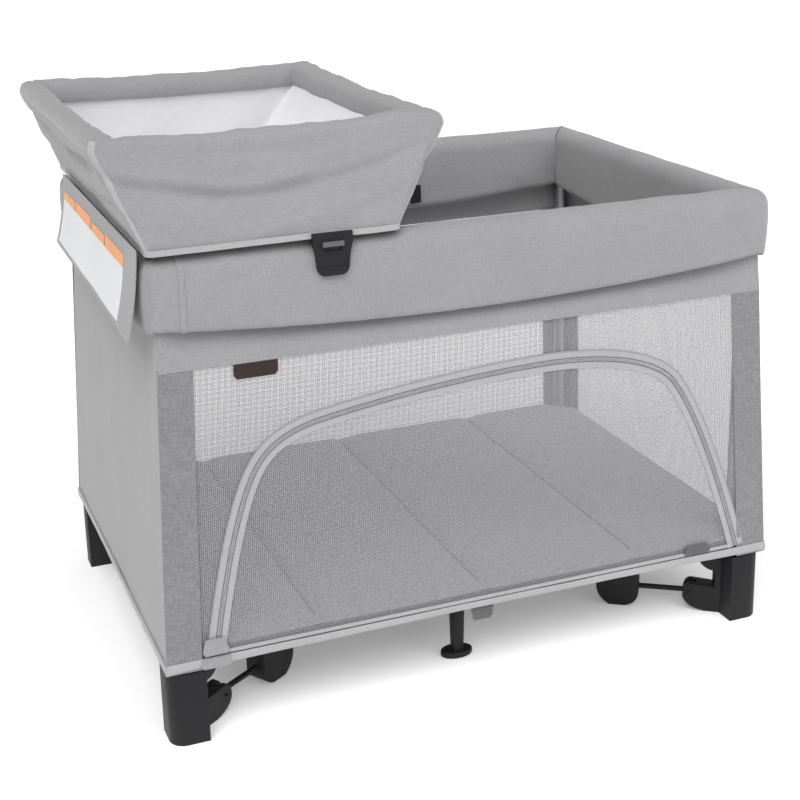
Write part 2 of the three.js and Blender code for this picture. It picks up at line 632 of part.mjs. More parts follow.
// The tray's end flap, hanging over the left end of the pen.
function trayFlap() {
  const top = TRAY_BASE_HEIGHT - 5;
  const x = -(POST_X + BAND_OUT) - 3;
  const low = top - FLAP.drop;
  const t = FLAP.thickness;
  const outline = outlineShape([
    [x, top], [x - 4, top - FLAP.drop / 2], [x - FLAP.kick, low],
    [x - FLAP.kick - t, low], [x - 4 - t, top - FLAP.drop / 2], [x - t, top],
  ]);
  const front = -TRAY_BOTTOM.half + FLAP.frontInset;
  const back = TRAY_BOTTOM.half - FLAP.backInset;
  return plate(outline, back - front, (back + front) / 2);
}

// ---- Putting it together -----------------------------------------------------------------
for (const { name, sx, sy } of CORNERS) {
  const corner = new THREE.Group();
  corner.position.set(sx * POST_X, sy * POST_Y, 0);
  const top = new THREE.Group();
  top.position.z = RAIL_HEIGHT;
  corner.add(top);
  pen.add(corner);
  place(corner, `post_${name}`, post(), BARE_TUBE);
  place(corner, `foot_${name}`, toCorner(foot(), sx, sy), BLACK_PLASTIC);
  place(top, `bracket_${name}`, toCorner(bracket(), sx, sy), BLACK_PLASTIC);
  place(top, `band_corner_${name}`, toCorner(bandCorner(), sx, sy), GREY_CLOTH);

  const leg = new THREE.Group();
  leg.position.set(sx * (POST_X - PIN_REACH * Math.cos(DIAGONAL_ANGLE)),
    sy * (POST_Y - PIN_REACH * Math.sin(DIAGONAL_ANGLE)), PIN_HEIGHT);
  leg.rotation.z = Math.atan2(-sy * POST_Y, -sx * POST_X);
  pen.add(leg);
  place(leg, `base_leg_${name}`, baseLeg(), BLACK_TUBE);
}

// Each side's rail: two halves, the housing between them and the two halves of the band.
const SIDES = [
  { name: 'front', turn: 0, away: POST_Y, reach: POST_X, bracket: BRACKET_X, ends: ['left', 'right'] },
  { name: 'back', turn: Math.PI, away: POST_Y, reach: POST_X, bracket: BRACKET_X, ends: ['right', 'left'] },
  { name: 'left', turn: -Math.PI / 2, away: POST_X, reach: POST_Y, bracket: BRACKET_Y, ends: ['back', 'front'] },
  { name: 'right', turn: Math.PI / 2, away: POST_X, reach: POST_Y, bracket: BRACKET_Y, ends: ['front', 'back'] },
];

for (const { name, turn, away, reach, bracket: toPin, ends } of SIDES) {
  const side = new THREE.Group();
  side.rotation.z = turn;
  pen.add(side);
  const line = new THREE.Group();
  line.position.set(0, -away, RAIL_HEIGHT);
  side.add(line);
  const pinX = reach - toPin;
  const railLength = pinX - LOCK_HALF;
  const bandLength = pinX - TUBE_START - GAP;
  place(line, `${name}_rail_lock`, railLock(), BLACK_PLASTIC);
  ends.forEach((end, i) => {
    const mirror = i === 0 ? -1 : 1;
    const rail = railHalf(railLength).translate(LOCK_HALF, 0, 0);
    place(line, `${name}_rail_${end}`, toCorner(rail, mirror, 1), BARE_TUBE);
    const band = toCorner(bandHalf(0, bandLength), -1, 1).translate(pinX - TUBE_START, 0, 0);
    place(line, `${name}_band_${end}`, toCorner(band, mirror, 1), GREY_CLOTH);
  });
}

place(pen, 'hub', hub(), BLACK_PLASTIC);
for (const side of [-1, 1]) {
  const leg = new THREE.Group();
  leg.position.set(side * MID_LEG_SHIFT, side * HUB_PIN_RADIUS, LEG_TUBE_HEIGHT);
  leg.rotation.z = (side * Math.PI) / 2;
  pen.add(leg);
  place(leg, side < 0 ? 'mid_leg_front' : 'mid_leg_back', midLeg(), BLACK_TUBE);
}

const halfX = PEN_LENGTH / 2;
const halfY = PEN_WIDTH / 2;
const endY = halfY - CLOTH - GAP - 1;
place(pen, 'front_wall', frontWall(), GREY_MESH);
place(pen, 'door_panel', door(), GREY_MESH);
place(pen, 'back_wall', plainWall(-halfX, halfX, halfY - CLOTH, halfY), GREY_MESH);
place(pen, 'left_wall', plainWall(-halfX, -halfX + CLOTH, -endY, endY), GREY_CLOTH);
place(pen, 'right_wall', plainWall(halfX - CLOTH, halfX, -endY, endY), GREY_MESH);
place(pen, 'floor_sheet', floorSheet(), GREY_CLOTH);
place(pen, 'mattress_right', mattressHalf(), PALE_CLOTH);
place(pen, 'mattress_left', toCorner(mattressHalf(), -1, 1), PALE_CLOTH);

const tray = new THREE.Group();
pen.add(tray);
place(tray, 'tray_shell', trayShell(), GREY_CLOTH);
place(tray, 'tray_rim', trayRim(), GREY_CLOTH);
place(tray, 'tray_pad', trayPad(), WHITE_CLOTH);
place(tray, 'tray_frame', trayFrame(), BLACK_TUBE);
place(tray, 'tray_clip_front', trayClip(), BLACK_PLASTIC);
place(tray, 'tray_clip_back', toCorner(trayClip(), 1, -1), BLACK_PLASTIC);
place(tray, 'tray_flap', trayFlap(), GREY_CLOTH);

export default pen;
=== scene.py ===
"""Looks of a folding travel playpen with a changing tray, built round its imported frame. Metres."""
import json
import math

import bmesh
import bpy
import numpy as np
from mathutils import Matrix, Vector, noise


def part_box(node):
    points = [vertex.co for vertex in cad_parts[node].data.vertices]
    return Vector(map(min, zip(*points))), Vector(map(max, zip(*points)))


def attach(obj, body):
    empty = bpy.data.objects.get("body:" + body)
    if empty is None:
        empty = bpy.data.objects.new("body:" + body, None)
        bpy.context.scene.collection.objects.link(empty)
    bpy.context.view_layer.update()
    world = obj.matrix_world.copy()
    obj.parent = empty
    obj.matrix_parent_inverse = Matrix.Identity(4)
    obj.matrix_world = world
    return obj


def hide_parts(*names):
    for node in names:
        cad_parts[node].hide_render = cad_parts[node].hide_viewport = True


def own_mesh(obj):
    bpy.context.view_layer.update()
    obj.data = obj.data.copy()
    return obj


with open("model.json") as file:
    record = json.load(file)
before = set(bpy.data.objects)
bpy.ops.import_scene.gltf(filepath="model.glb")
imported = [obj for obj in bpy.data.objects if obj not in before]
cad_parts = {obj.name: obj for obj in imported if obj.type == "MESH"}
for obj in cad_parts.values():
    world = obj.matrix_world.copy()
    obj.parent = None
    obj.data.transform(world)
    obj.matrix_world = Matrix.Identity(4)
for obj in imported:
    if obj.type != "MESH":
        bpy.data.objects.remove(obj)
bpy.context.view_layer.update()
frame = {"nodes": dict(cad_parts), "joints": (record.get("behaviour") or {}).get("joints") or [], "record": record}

MM = 0.001

# ---- Sizes taken from the frame ------------------------------------------------------------
joint_of = {j["name"]: j for j in frame["joints"]}


def middle(node):
    low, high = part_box(node)
    return (low + high) / 2


CENTRE_X = middle("hub").x
wall_low, wall_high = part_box("front_wall")
HALF_X = (wall_high.x - wall_low.x) / 2
HALF_Y = -wall_low.y
HEM = wall_low.z
WALL_THICK = 3 * MM
# How far the walls lean in for each metre that they rise.
LEAN = (wall_high.y - wall_low.y - WALL_THICK) / (wall_high.z - wall_low.z)
band_low, band_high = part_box("front_band_left")
BAND_BOTTOM = band_low.z
BAND_TOP = band_high.z
FOLD = "frame_fold"
RAIL_Z = joint_of[FOLD]["pos_m"][2]
POST_X = middle("post_fr").x - CENTRE_X
POST_Y = -middle("post_fr").y
BAND_OUT = -POST_Y - band_low.y
BAND_IN = band_high.y + POST_Y
CORNERS = (("fl", -1, -1), ("fr", 1, -1), ("bl", -1, 1), ("br", 1, 1))


# ---- Materials --------------------------------------------------------------------------------
def linear(code):
    """An sRGB hex colour as the linear colour that a shader takes."""
    channels = [int(code[i:i + 2], 16) / 255 for i in (1, 3, 5)]
    return [c / 12.92 if c <= 0.04045 else ((c + 0.055) / 1.055) ** 2.4 for c in channels] + [1.0]


def add_node(tree, kind, settings=None, **inputs):
    """A node with its settings and input values. An input is given by its name or, as i0, by its number,
    and one given as a socket is linked."""
    made = tree.nodes.new(kind)
    for key, value in (settings or {}).items():
        setattr(made, key, value)
    for key, value in inputs.items():
        numbered = key[0] == "i" and key[1:].isdigit()
        socket = made.inputs[int(key[1:]) if numbered else key.replace("_", " ")]
        if isinstance(value, bpy.types.NodeSocket):
            tree.links.new(value, socket)
        else:
            socket.default_value = value
    return made


def new_material(name, **constants):
    """A material with a Principled shader, whose constant values are set on its own sockets."""
    material = bpy.data.materials.new(name)
    material.use_nodes = True
    tree = material.node_tree
    tree.nodes.clear()
    shader = add_node(tree, "ShaderNodeBsdfPrincipled")
    for key, value in constants.items():
        shader.inputs[key.replace("_", " ")].default_value = value
    out = add_node(tree, "ShaderNodeOutputMaterial")
    tree.links.new(shader.outputs[0], out.inputs[0])
    return material, tree, shader


def thread_waves(tree, across, along, pitch):
    """Two crossed sets of threads as waves of that pitch, in metres."""
    waves = []
    for coordinate in (across, along):
        phase = add_node(tree, "ShaderNodeMath", {"operation": "MULTIPLY"}, i0=coordinate,
                         i1=2 * math.pi / pitch)
        waves.append(add_node(tree, "ShaderNodeMath", {"operation": "SINE"}, i0=phase.outputs[0]).outputs[0])
    return waves


# Cloth: the changes of shade per metre along a yarn, the worn patches per metre, how far they lighten and
# darken it, and the relief of a thread.
YARN_CHANGES = 60
WORN_PATCHES = 9.0
WORN_DARK, WORN_LIGHT = 0.94, 1.05
THREAD_RELIEF = 0.4 * MM


def cloth(name, colour, fleck, pitch_mm, bump=0.3, roughness=0.92, sheen=0.25, slub=0.6):
    """Heather polyester cloth: plain weave with lighter and darker yarns, matt, with a soft sheen.
    slub is how strongly the shade changes from yarn to yarn."""
    material, tree, shader = new_material(name, Roughness=roughness, Sheen_Weight=sheen, Sheen_Roughness=0.6)
    place = add_node(tree, "ShaderNodeUVMap", {"uv_map": "weave"})
    split = add_node(tree, "ShaderNodeSeparateXYZ", i0=place.outputs[0])
    pitch = pitch_mm * MM
    warp, weft = thread_waves(tree, split.outputs[0], split.outputs[1], pitch)
    over = add_node(tree, "ShaderNodeMath", {"operation": "MULTIPLY"}, i0=warp, i1=weft).outputs[0]
    # Yarns that run a few centimetres before their shade changes, one noise for each direction.
    yarns = []
    for stretch in ((YARN_CHANGES, 1 / pitch, 1), (1 / pitch, YARN_CHANGES, 1)):
        laid = add_node(tree, "ShaderNodeMapping", i0=place.outputs[0], Scale=stretch)
        yarns.append(add_node(tree, "ShaderNodeTexNoise", {"noise_dimensions": "2D"},
                              Vector=laid.outputs[0], Scale=1.0, Detail=1.0).outputs[0])
    both = add_node(tree, "ShaderNodeMath", {"operation": "ADD"}, i0=yarns[0], i1=yarns[1]).outputs[0]
    spread = 0.15 / slub
    shade = add_node(tree, "ShaderNodeMapRange", i0=both, From_Min=1.0 - spread, From_Max=1.0 + spread)
    cloud = add_node(tree, "ShaderNodeTexNoise", {"noise_dimensions": "2D"},
                     Vector=place.outputs[0], Scale=WORN_PATCHES, Detail=2.0)
    mix = add_node(tree, "ShaderNodeMix", {"data_type": "RGBA"},
                   i0=shade.outputs[0], i6=linear(colour), i7=linear(fleck))
    worn = add_node(tree, "ShaderNodeMapRange", i0=cloud.outputs[0], To_Min=WORN_DARK, To_Max=WORN_LIGHT)
    toned = add_node(tree, "ShaderNodeVectorMath", {"operation": "SCALE"},
                     i0=mix.outputs[2], Scale=worn.outputs[0])
    tree.links.new(toned.outputs[0], shader.inputs["Base Color"])
    raised = add_node(tree, "ShaderNodeMath", {"operation": "ADD"}, i0=over, i1=both)
    surface = add_node(tree, "ShaderNodeBump",
                       Strength=bump, Distance=THREAD_RELIEF, Height=raised.outputs[0])
    tree.links.new(surface.outputs[0], shader.inputs["Normal"])
    return material


# Net: how solid a yarn and a hole are, because finer yarns cross the holes, and the softness between them.
YARN_SOLID, HOLE_SOLID = 0.66, 0.10
YARN_EDGE = 0.06


def net(name, colour, pitch_mm, yarn_reach):
    """Warp-knitted polyester net: round holes in staggered rows between fine matt yarns."""
    material, tree, shader = new_material(name, Roughness=0.85, Sheen_Weight=0.1, Base_Color=linear(colour))
    place = add_node(tree, "ShaderNodeUVMap", {"uv_map": "weave"})
    split = add_node(tree, "ShaderNodeSeparateXYZ", i0=place.outputs[0])
    warp, weft = thread_waves(tree, split.outputs[0], split.outputs[1], pitch_mm * MM * 2)
    hole = add_node(tree, "ShaderNodeMath", {"operation": "MULTIPLY"}, i0=warp, i1=weft).outputs[0]
    size = add_node(tree, "ShaderNodeMath", {"operation": "ABSOLUTE"}, i0=hole).outputs[0]
    yarn = add_node(tree, "ShaderNodeMapRange", i0=size, From_Min=yarn_reach - YARN_EDGE,
                    From_Max=yarn_reach + YARN_EDGE, To_Min=YARN_SOLID, To_Max=HOLE_SOLID)
    tree.links.new(yarn.outputs[0], shader.inputs["Alpha"])
    return material


def plastic(name, colour, roughness, grain_mm=0.6, bump=0.08):
    """Injection-moulded polypropylene: a fine spark-eroded grain that breaks up the highlight."""
    material, tree, shader = new_material(name, IOR=1.49, Specular_IOR_Level=0.3)
    place = add_node(tree, "ShaderNodeTexCoord")
    grain = add_node(tree, "ShaderNodeTexNoise", Vector=place.outputs["Object"],
                     Scale=1 / (grain_mm * MM), Detail=2.0)
    # Handled patches, about 70 mm across, a little lighter and duller than the rest.
    patch = add_node(tree, "ShaderNodeTexNoise", Vector=place.outputs["Object"], Scale=14.0, Detail=3.0)
    tone = add_node(tree, "ShaderNodeMapRange", i0=patch.outputs[0], To_Min=0.85, To_Max=1.2)
    base = add_node(tree, "ShaderNodeVectorMath", {"operation": "SCALE"},
                    i0=linear(colour)[:3], Scale=tone.outputs[0])
    tree.links.new(base.outputs[0], shader.inputs["Base Color"])
    dull = add_node(tree, "ShaderNodeMapRange", i0=patch.outputs[0],
                    To_Min=roughness - 0.06, To_Max=roughness + 0.08)
    tree.links.new(dull.outputs[0], shader.inputs["Roughness"])
    surface = add_node(tree, "ShaderNodeBump", Strength=bump, Distance=0.2 * MM, Height=grain.outputs[0])
    tree.links.new(surface.outputs[0], shader.inputs["Normal"])
    return material


def tube_metal(name, colour, metallic, roughness):
    """Drawn tube: faint lengthwise marks vary its gloss."""
    material, tree, shader = new_material(name, Metallic=metallic, Base_Color=linear(colour))
    place = add_node(tree, "ShaderNodeTexCoord")
    marks = add_node(tree, "ShaderNodeTexNoise", Vector=place.outputs["Object"], Scale=40.0, Detail=4.0)
    gloss = add_node(tree, "ShaderNodeMapRange", i0=marks.outputs[0],
                     To_Min=roughness - 0.07, To_Max=roughness + 0.1)
    tree.links.new(gloss.outputs[0], shader.inputs["Roughness"])
    return material


# Heather polyester plain weave, drawn at 1.8 mm a thread so that the weave shows.
GREY = cloth("heather_polyester_weave", "#868587", "#8f8e90", 1.8, bump=0.22)
# The same cloth on the solid end wall, a smoother face.
GREY_FLAT = cloth("polyester_end_wall", "#848486", "#8a898b", 1.8, bump=0.12, slub=0.4)
# Piping and zip tape: close-woven polyester braid.
TAPE = cloth("woven_polyester_tape", "#99989a", "#a2a1a3", 1.6, bump=0.2, slub=0.3)
# Coarse spacer mesh over the corner posts, with its dark under-layer showing.
SPACER = cloth("coarse_spacer_mesh", "#706f71", "#7e7d7f", 2.6, bump=0.5, slub=0.8)
# A real net has about 1.5 mm between its holes: drawn at 3.2 mm so that the yarns show.
NET = net("warp_knitted_net", "#a6a5a8", 3.2, 0.26)
# Mattress cover: textured polyester with a small dobby dot.
MATTRESS = cloth("quilted_mattress_cover", "#8a898c", "#a3a2a5", 3.0, bump=1.0, slub=0.6)
# Brushed microfibre of the tray's pad and lining.
WHITE = cloth("white_microfibre", "#dcdcde", "#e6e6e8", 1.8, bump=0.12, sheen=0.1, slub=0.3)
# Moulded feet, legs and clips, satin black.
BLACK = plastic("moulded_polypropylene", "#161518", 0.52)
# Powder-coated steel tube, whose paint isn't metallic, and bare drawn aluminium tube.
BLACK_TUBE = tube_metal("powder_coated_tube", "#1c1b1e", 0.0, 0.42)
BARE_TUBE = tube_metal("drawn_aluminium_tube", "#a8aaad", 1.0, 0.32)
# Vegetable-tanned leather tag, smooth and brown.
LEATHER = plastic("brown_leather", "#2e201d", 0.6, 1.2, 0.3)
# Soft moulded rubber tag.
RUBBER = plastic("moulded_rubber", "#5c5b5e", 0.7, 0.8, 0.15)
# Printed polyester label stock, left blank.
LABEL = cloth("satin_label", "#cfd0d3", "#d9dadc", 1.0, bump=0.05, slub=0.2)
ORANGE = cloth("orange_label_print", "#e08a3c", "#e89a50", 1.0, bump=0.05, slub=0.2)
# Zip coil: moulded nylon monofilament, slightly shiny, with painted shade that darkens it between its turns.
COIL = cloth("nylon_zip_coil", "#88878a", "#a09fa2", 1.8, bump=0.6, roughness=0.5, sheen=0.0, slub=0.5)
# Dark thread and webbing. Along the zip and in the mattress's sewn channels it is painted shade.
DARK_THREAD_AND_SHADE = cloth("zip_shadow_thread", "#4a494c", "#5a595c", 1.6, bump=0.2, slub=0.3)


# ---- Mesh helpers ----------------------------------------------------------------------------
def smooth_step(t):
    """0 up to t = 0, 1 from t = 1, and an even rise between them."""
    t = np.clip(t, 0.0, 1.0)
    return t * t * (3 - 2 * t)


def ripple(points, stretch, seed):
    """Smooth noise, about -1 to 1, at each point, stretched by the three scales."""
    flat = np.asarray(points, float).reshape(-1, 3) * np.array(stretch)
    values = [noise.noise(Vector(p) + Vector((seed * 7.3, seed * 3.1, seed * 5.7))) for p in flat]
    return np.array(values).reshape(np.asarray(points).shape[:-1])


def normals_of(grid, around=False):
    """The normals of a grid of points, rows by columns; around says that the columns close on themselves."""
    if around:
        wide = np.concatenate([grid[:, -1:], grid, grid[:, :1]], axis=1)
        across = (wide[:, 2:] - wide[:, :-2])
    else:
        across = np.gradient(grid, axis=1)
    down = np.gradient(grid, axis=0)
    n = np.cross(across, down)
    length = np.linalg.norm(n, axis=2, keepdims=True)
    return n / np.maximum(length, 1e-12)


def lengths(grid, axis):
    """The distance walked along a grid's axis, averaged over the other axis' lines."""
    steps = np.linalg.norm(np.diff(grid, axis=axis), axis=2)
    walked = np.cumsum(steps, axis=axis)
    pad = [(0, 0), (0, 0)]
    pad[axis] = (1, 0)
    return np.pad(walked, pad)


def build(name, vertices, faces, material, weave=None):
    """A mesh object from vertices and faces; weave gives each vertex its place in the cloth, in metres."""
    mesh = bpy.data.meshes.new(name)
    mesh.from_pydata([tuple(v) for v in vertices], [], [tuple(f) for f in faces])
    if weave is not None:
        layer = mesh.uv_layers.new(name="weave")
        order = np.zeros(len(mesh.loops), np.int32)
        mesh.loops.foreach_get("vertex_index", order)
        layer.data.foreach_set("uv", np.asarray(weave, np.float32)[order].ravel())
    shaped = bmesh.new()
    shaped.from_mesh(mesh)
    bmesh.ops.recalc_face_normals(shaped, faces=shaped.faces)
    shaped.to_mesh(mesh)
    shaped.free()
    mesh.materials.append(material)
    for polygon in mesh.polygons:
        polygon.use_smooth = True
    mesh.set_sharp_from_angle(angle=math.radians(50))
    made = bpy.data.objects.new(name, mesh)
    bpy.context.scene.collection.objects.link(made)
    return made


def sheet_from(name, grid, thickness, material, around=False, weave=None):
    """A closed sheet of that thickness about a grid of points, with its weave along the grid."""
    rows, columns = grid.shape[:2]
    n = normals_of(grid, around)
    if weave is None:
        weave = np.stack([lengths(grid, 1), lengths(grid, 0)], axis=2)
    front = (grid + n * thickness / 2).reshape(-1, 3)
    back = (grid - n * thickness / 2).reshape(-1, 3)
    count = rows * columns
    index = np.arange(count).reshape(rows, columns)
    faces = []
    last = columns if around else columns - 1
    for r in range(rows - 1):
        for c in range(last):
            d = (c + 1) % columns
            a, b, e, f = index[r, c], index[r, d], index[r + 1, d], index[r + 1, c]
            faces.append((a, b, e, f))
            faces.append((f + count, e + count, b + count, a + count))
    for r in (0, rows - 1):
        for c in range(last):
            d = (c + 1) % columns
            faces.append((index[r, c], index[r, d], index[r, d] + count, index[r, c] + count))
    if not around:
        for c in (0, columns - 1):
            for r in range(rows - 1):
                faces.append((index[r, c], index[r + 1, c], index[r + 1, c] + count, index[r, c] + count))
    flat = weave.reshape(-1, 2)
    return build(name, np.concatenate([front, back]), faces, material, np.concatenate([flat, flat]))


def tube_from(name, grid, material, weave=None):
    """A closed padded form: each row of the grid is a closed loop, and both ends are capped."""
    rows, columns = grid.shape[:2]
    if weave is None:
        weave = np.stack([lengths(grid, 1), lengths(grid, 0)], axis=2)
    index = np.arange(rows * columns).reshape(rows, columns)
    faces = []
    for r in range(rows - 1):
        for c in range(columns):
            d = (c + 1) % columns
            faces.append((index[r, c], index[r, d], index[r + 1, d], index[r + 1, c]))
    faces.append(tuple(index[0]))
    faces.append(tuple(index[-1]))
    return build(name, grid.reshape(-1, 3), faces, material, weave.reshape(-1, 2))


def slab_from(name, up, down, flat, material):
    """A closed padded slab between an upper and a lower grid of points, with its weave as seen from above."""
    rows, columns = up.shape[:2]
    count = rows * columns
    index = np.arange(count).reshape(rows, columns)
    faces = []
    for r in range(rows - 1):
        for c in range(columns - 1):
            a, b, e, f = index[r, c], index[r, c + 1], index[r + 1, c + 1], index[r + 1, c]
            faces += [(a, b, e, f), (f + count, e + count, b + count, a + count)]
    border = [*index[0, :], *index[1:, -1], *index[-1, -2::-1], *index[-2:0:-1, 0]]
    for a, b in zip(border, border[1:] + border[:1]):
        faces.append((a, a + count, b + count, b))
    vertices = np.concatenate([up.reshape(-1, 3), down.reshape(-1, 3)])
    return build(name, vertices, faces, material, np.concatenate([flat.reshape(-1, 2)] * 2))


def round_edges(made, width, segments, sharp, smooth):
    """Rounds the edges of the active object that are sharper than one angle, in degrees, and shades it
    smooth up to the other."""
    rounding = made.modifiers.new("edges", "BEVEL")
    rounding.width = width
    rounding.segments = segments
    rounding.limit_method = "ANGLE"
    rounding.angle_limit = math.radians(sharp)
    bpy.ops.object.modifier_apply(modifier="edges")
    bpy.ops.object.shade_smooth_by_angle(angle=math.radians(smooth))
    made.select_set(False)


def place_piece(piece, body, node=None):
    """Hides the CAD node that a piece stands for, if any, and puts the piece on the body that it rides on."""
    if node:
        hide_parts(node)
    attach(piece, body)
    return piece


def moulding(name, node, body, bevel, segments=2):
    """A black moulded piece in place of a CAD node: its copy, with the rounded edges that a mould gives."""
    bpy.ops.object.select_all(action="DESELECT")
    made = bpy.data.objects.new(name, frame["nodes"][node].data.copy())
    bpy.context.scene.collection.objects.link(made)
    made.data.materials.clear()
    made.data.materials.append(BLACK)
    shaped = bmesh.new()
    shaped.from_mesh(made.data)
    bmesh.ops.remove_doubles(shaped, verts=shaped.verts, dist=0.02 * MM)
    bmesh.ops.dissolve_limit(shaped, angle_limit=math.radians(2), verts=shaped.verts, edges=shaped.edges)
    shaped.to_mesh(made.data)
    shaped.free()
    bpy.context.view_layer.objects.active = made
    made.select_set(True)
    round_edges(made, bevel, segments, 38, 38)
    return place_piece(made, body, node)


# ---- Walls ---------------------------------------------------------------------------------
# Each side: which way along it is right, as seen from outside (x, y), its half length, how far it is from
# the pen's middle, and the body that its wall rides on.
SIDES = {
    "front": {"right": (1, 0), "half": HALF_X, "away": HALF_Y, "body": "corner_fl"},
    "back": {"right": (-1, 0), "half": HALF_X, "away": HALF_Y, "body": "corner_bl"},
    "left": {"right": (0, -1), "half": HALF_Y, "away": HALF_X, "body": "corner_fl"},
    "right": {"right": (0, 1), "half": HALF_Y, "away": HALF_X, "body": "corner_fr"},
}
LONG_SIDES = ("front", "back")


def on_side(side, s, z, out):
    """A point on a wall: s along it to the right as seen from outside, z up, out beyond the wall's plane.
    The wall leans in as it rises."""
    s, z, out = np.broadcast_arrays(np.asarray(s, float), z, out)
    a = SIDES[side]
    rise = LEAN * (z - HEM)
    along = s * (1 - rise / a["half"])
    away = a["away"] - rise + out
    cos, sin = a["right"]
    return np.stack([CENTRE_X + cos * along + sin * away, sin * along - cos * away, z], axis=-1)


def flat_points(s, z):
    """Places on a flat cloth as points in space, for a ripple."""
    return np.stack(np.broadcast_arrays(s, z, 0.0), axis=-1)


# The rails' hinges, from the frame's joints.
pin = Vector(joint_of[FOLD]["pos_m"])
side_pin = Vector(joint_of["left_front_hinge"]["pos_m"])


def fold_with(piece, side, body=None):
    """The piece rides on its wall's body, or on the body given, with a mesh of its own."""
    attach(piece, body or SIDES[side]["body"])
    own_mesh(piece)
    return piece


WALL_TOP = BAND_BOTTOM + 18 * MM
# The cloth strip along a wall's top starts here, and each corner strip is this wide.
STRIP_LOW = 618 * MM
STRIP_WIDE = 57 * MM
HEM_HIGH = 21 * MM
# The ends of a wall that stay with their posts, just less than the corner strips that cover them.
STIFF = STRIP_WIDE - 8 * MM
# The nets end just above the top strip's lower edge, behind it.
NET_TOP = STRIP_LOW + 7 * MM
# Nets are this thick, lie this far inside the wall's plane and bow in by this much in their middle.
NET_THICK = 0.6 * MM
NET_IN = 1.5 * MM
NET_BOW = 4 * MM
# The solid end wall's cloth, its bow and its soft unevenness.
CLOTH_THICK = 1.6 * MM
CLOTH_BOW = 5 * MM
CLOTH_CRUMPLE = 1.6 * MM
# The corner bodies at each wall's left and right ends, as seen from outside.
ENDS = {"front": ("corner_fl", "corner_fr"), "back": ("corner_br", "corner_bl"),
        "left": ("corner_bl", "corner_fl"), "right": ("corner_fr", "corner_br")}
# The door's arch, in millimetres, as five curves end to end, each with two points that guide it; and the
# height of its sill.
ARCH = [(-470, 152), (-450, 290), (-425, 400), (-396, 446), (-372, 486), (-330, 500), (-290, 508),
        (-170, 528), (-20, 542), (120, 544), (240, 544), (330, 522), (366, 484), (410, 430), (455, 300),
        (490, 152)]
SILL = 152 * MM
ARCH_COLUMNS = 190


def arch_line(count, offset=0.0):
    """Points along the door's arch from its lower left to its lower right, moved outwards by offset, and
    how far each is along it."""
    corners = np.array(ARCH, float) * MM
    points = []
    for start in range(0, len(corners) - 3, 3):
        a, b, c, d = corners[start:start + 4]
        for t in np.linspace(0, 1, 60, endpoint=False):
            u = 1 - t
            points.append(u ** 3 * a + 3 * u ** 2 * t * b + 3 * u * t * t * c + t ** 3 * d)
    points.append(corners[-1])
    points = np.array(points)
    step = np.concatenate([[0], np.cumsum(np.linalg.norm(np.diff(points, axis=0), axis=1))])
    even = np.linspace(0, step[-1], count)
    line = np.stack([np.interp(even, step, points[:, i]) for i in (0, 1)], axis=1)
    along = np.gradient(line, axis=0)
    along /= np.linalg.norm(along, axis=1, keepdims=True)
    out = np.stack([-along[:, 1], along[:, 0]], axis=1)
    return line + out * offset, even


def slack(s, z, half, depth):
    """How far a taut cloth bows in between its edges."""
    rise = np.clip((z - HEM) / (WALL_TOP - HEM), 0, 1)
    return -depth * np.cos(np.pi * s / (2 * half)) * np.sin(np.pi * rise)


def wall_grid(side, s0, s1, z0, z1, columns, rows, out, crumple, seed, bow=0.0):
    """A stretch of a wall from s0 to s1 and down from z1 to z0: its points and their places in the cloth."""
    s, z = np.meshgrid(np.linspace(s0, s1, columns), np.linspace(z1, z0, rows))
    points = flat_points(s, z)
    uneven = ripple(points, (7, 3.5, 1), seed) + 0.5 * ripple(points, (22, 9, 1), seed + 4)
    depth = out + slack(s, z, SIDES[side]["half"], bow) + crumple * uneven
    return on_side(side, s, z, depth), np.stack([s, z], axis=2)


def arch_sheet(name, first, last, rows):
    """A net on the front wall, drawn out evenly between two lines of places on it."""
    share = np.linspace(0, 1, rows)[:, None, None]
    flat = first[None] * (1 - share) + last[None] * share
    s, z = flat[..., 0], flat[..., 1]
    grid = on_side("front", s, z, slack(s, z, HALF_X, NET_BOW) - NET_IN)
    return sheet_from(name, grid, NET_THICK, NET, weave=flat)


def front_net():
    """The net between the door's arch and the edges of the front wall."""
    inner, _ = arch_line(ARCH_COLUMNS, 1 * MM)
    reach = HALF_X - STIFF
    fine = 1000
    up = np.linspace(SILL, NET_TOP, fine)
    edge = np.concatenate([
        np.stack([np.full(fine, -reach), up], axis=1),
        np.stack([np.linspace(-reach, reach, fine), np.full(fine, NET_TOP)], axis=1),
        np.stack([np.full(fine, reach), up[::-1]], axis=1),
    ])
    # Each point of the arch is matched to the edge straight out from the door's middle.
    centre_s, centre_z = 10 * MM, 200 * MM

    def angle(line):
        return np.unwrap(np.arctan2(line[:, 1] - centre_z, line[:, 0] - centre_s))

    ends = angle(edge)
    want = np.interp(angle(inner), angle(inner)[[-1, 0]], [ends[-1], ends[0]])
    outer = np.stack([np.interp(want, ends[::-1], edge[::-1, i]) for i in (0, 1)], axis=1)
    outer[0] = (-reach, SILL)
    outer[-1] = (reach, SILL)
    return arch_sheet("front_net", outer, inner, 26)


def door_net():
    """The net of the door, from its arch down to its sill."""
    arch, _ = arch_line(ARCH_COLUMNS, -1 * MM)
    along = np.linspace(arch[0, 0], arch[-1, 0], ARCH_COLUMNS)
    base = np.stack([along, np.full(ARCH_COLUMNS, SILL + 0.5 * MM)], axis=1)
    return arch_sheet("door_net", arch, base, 22)


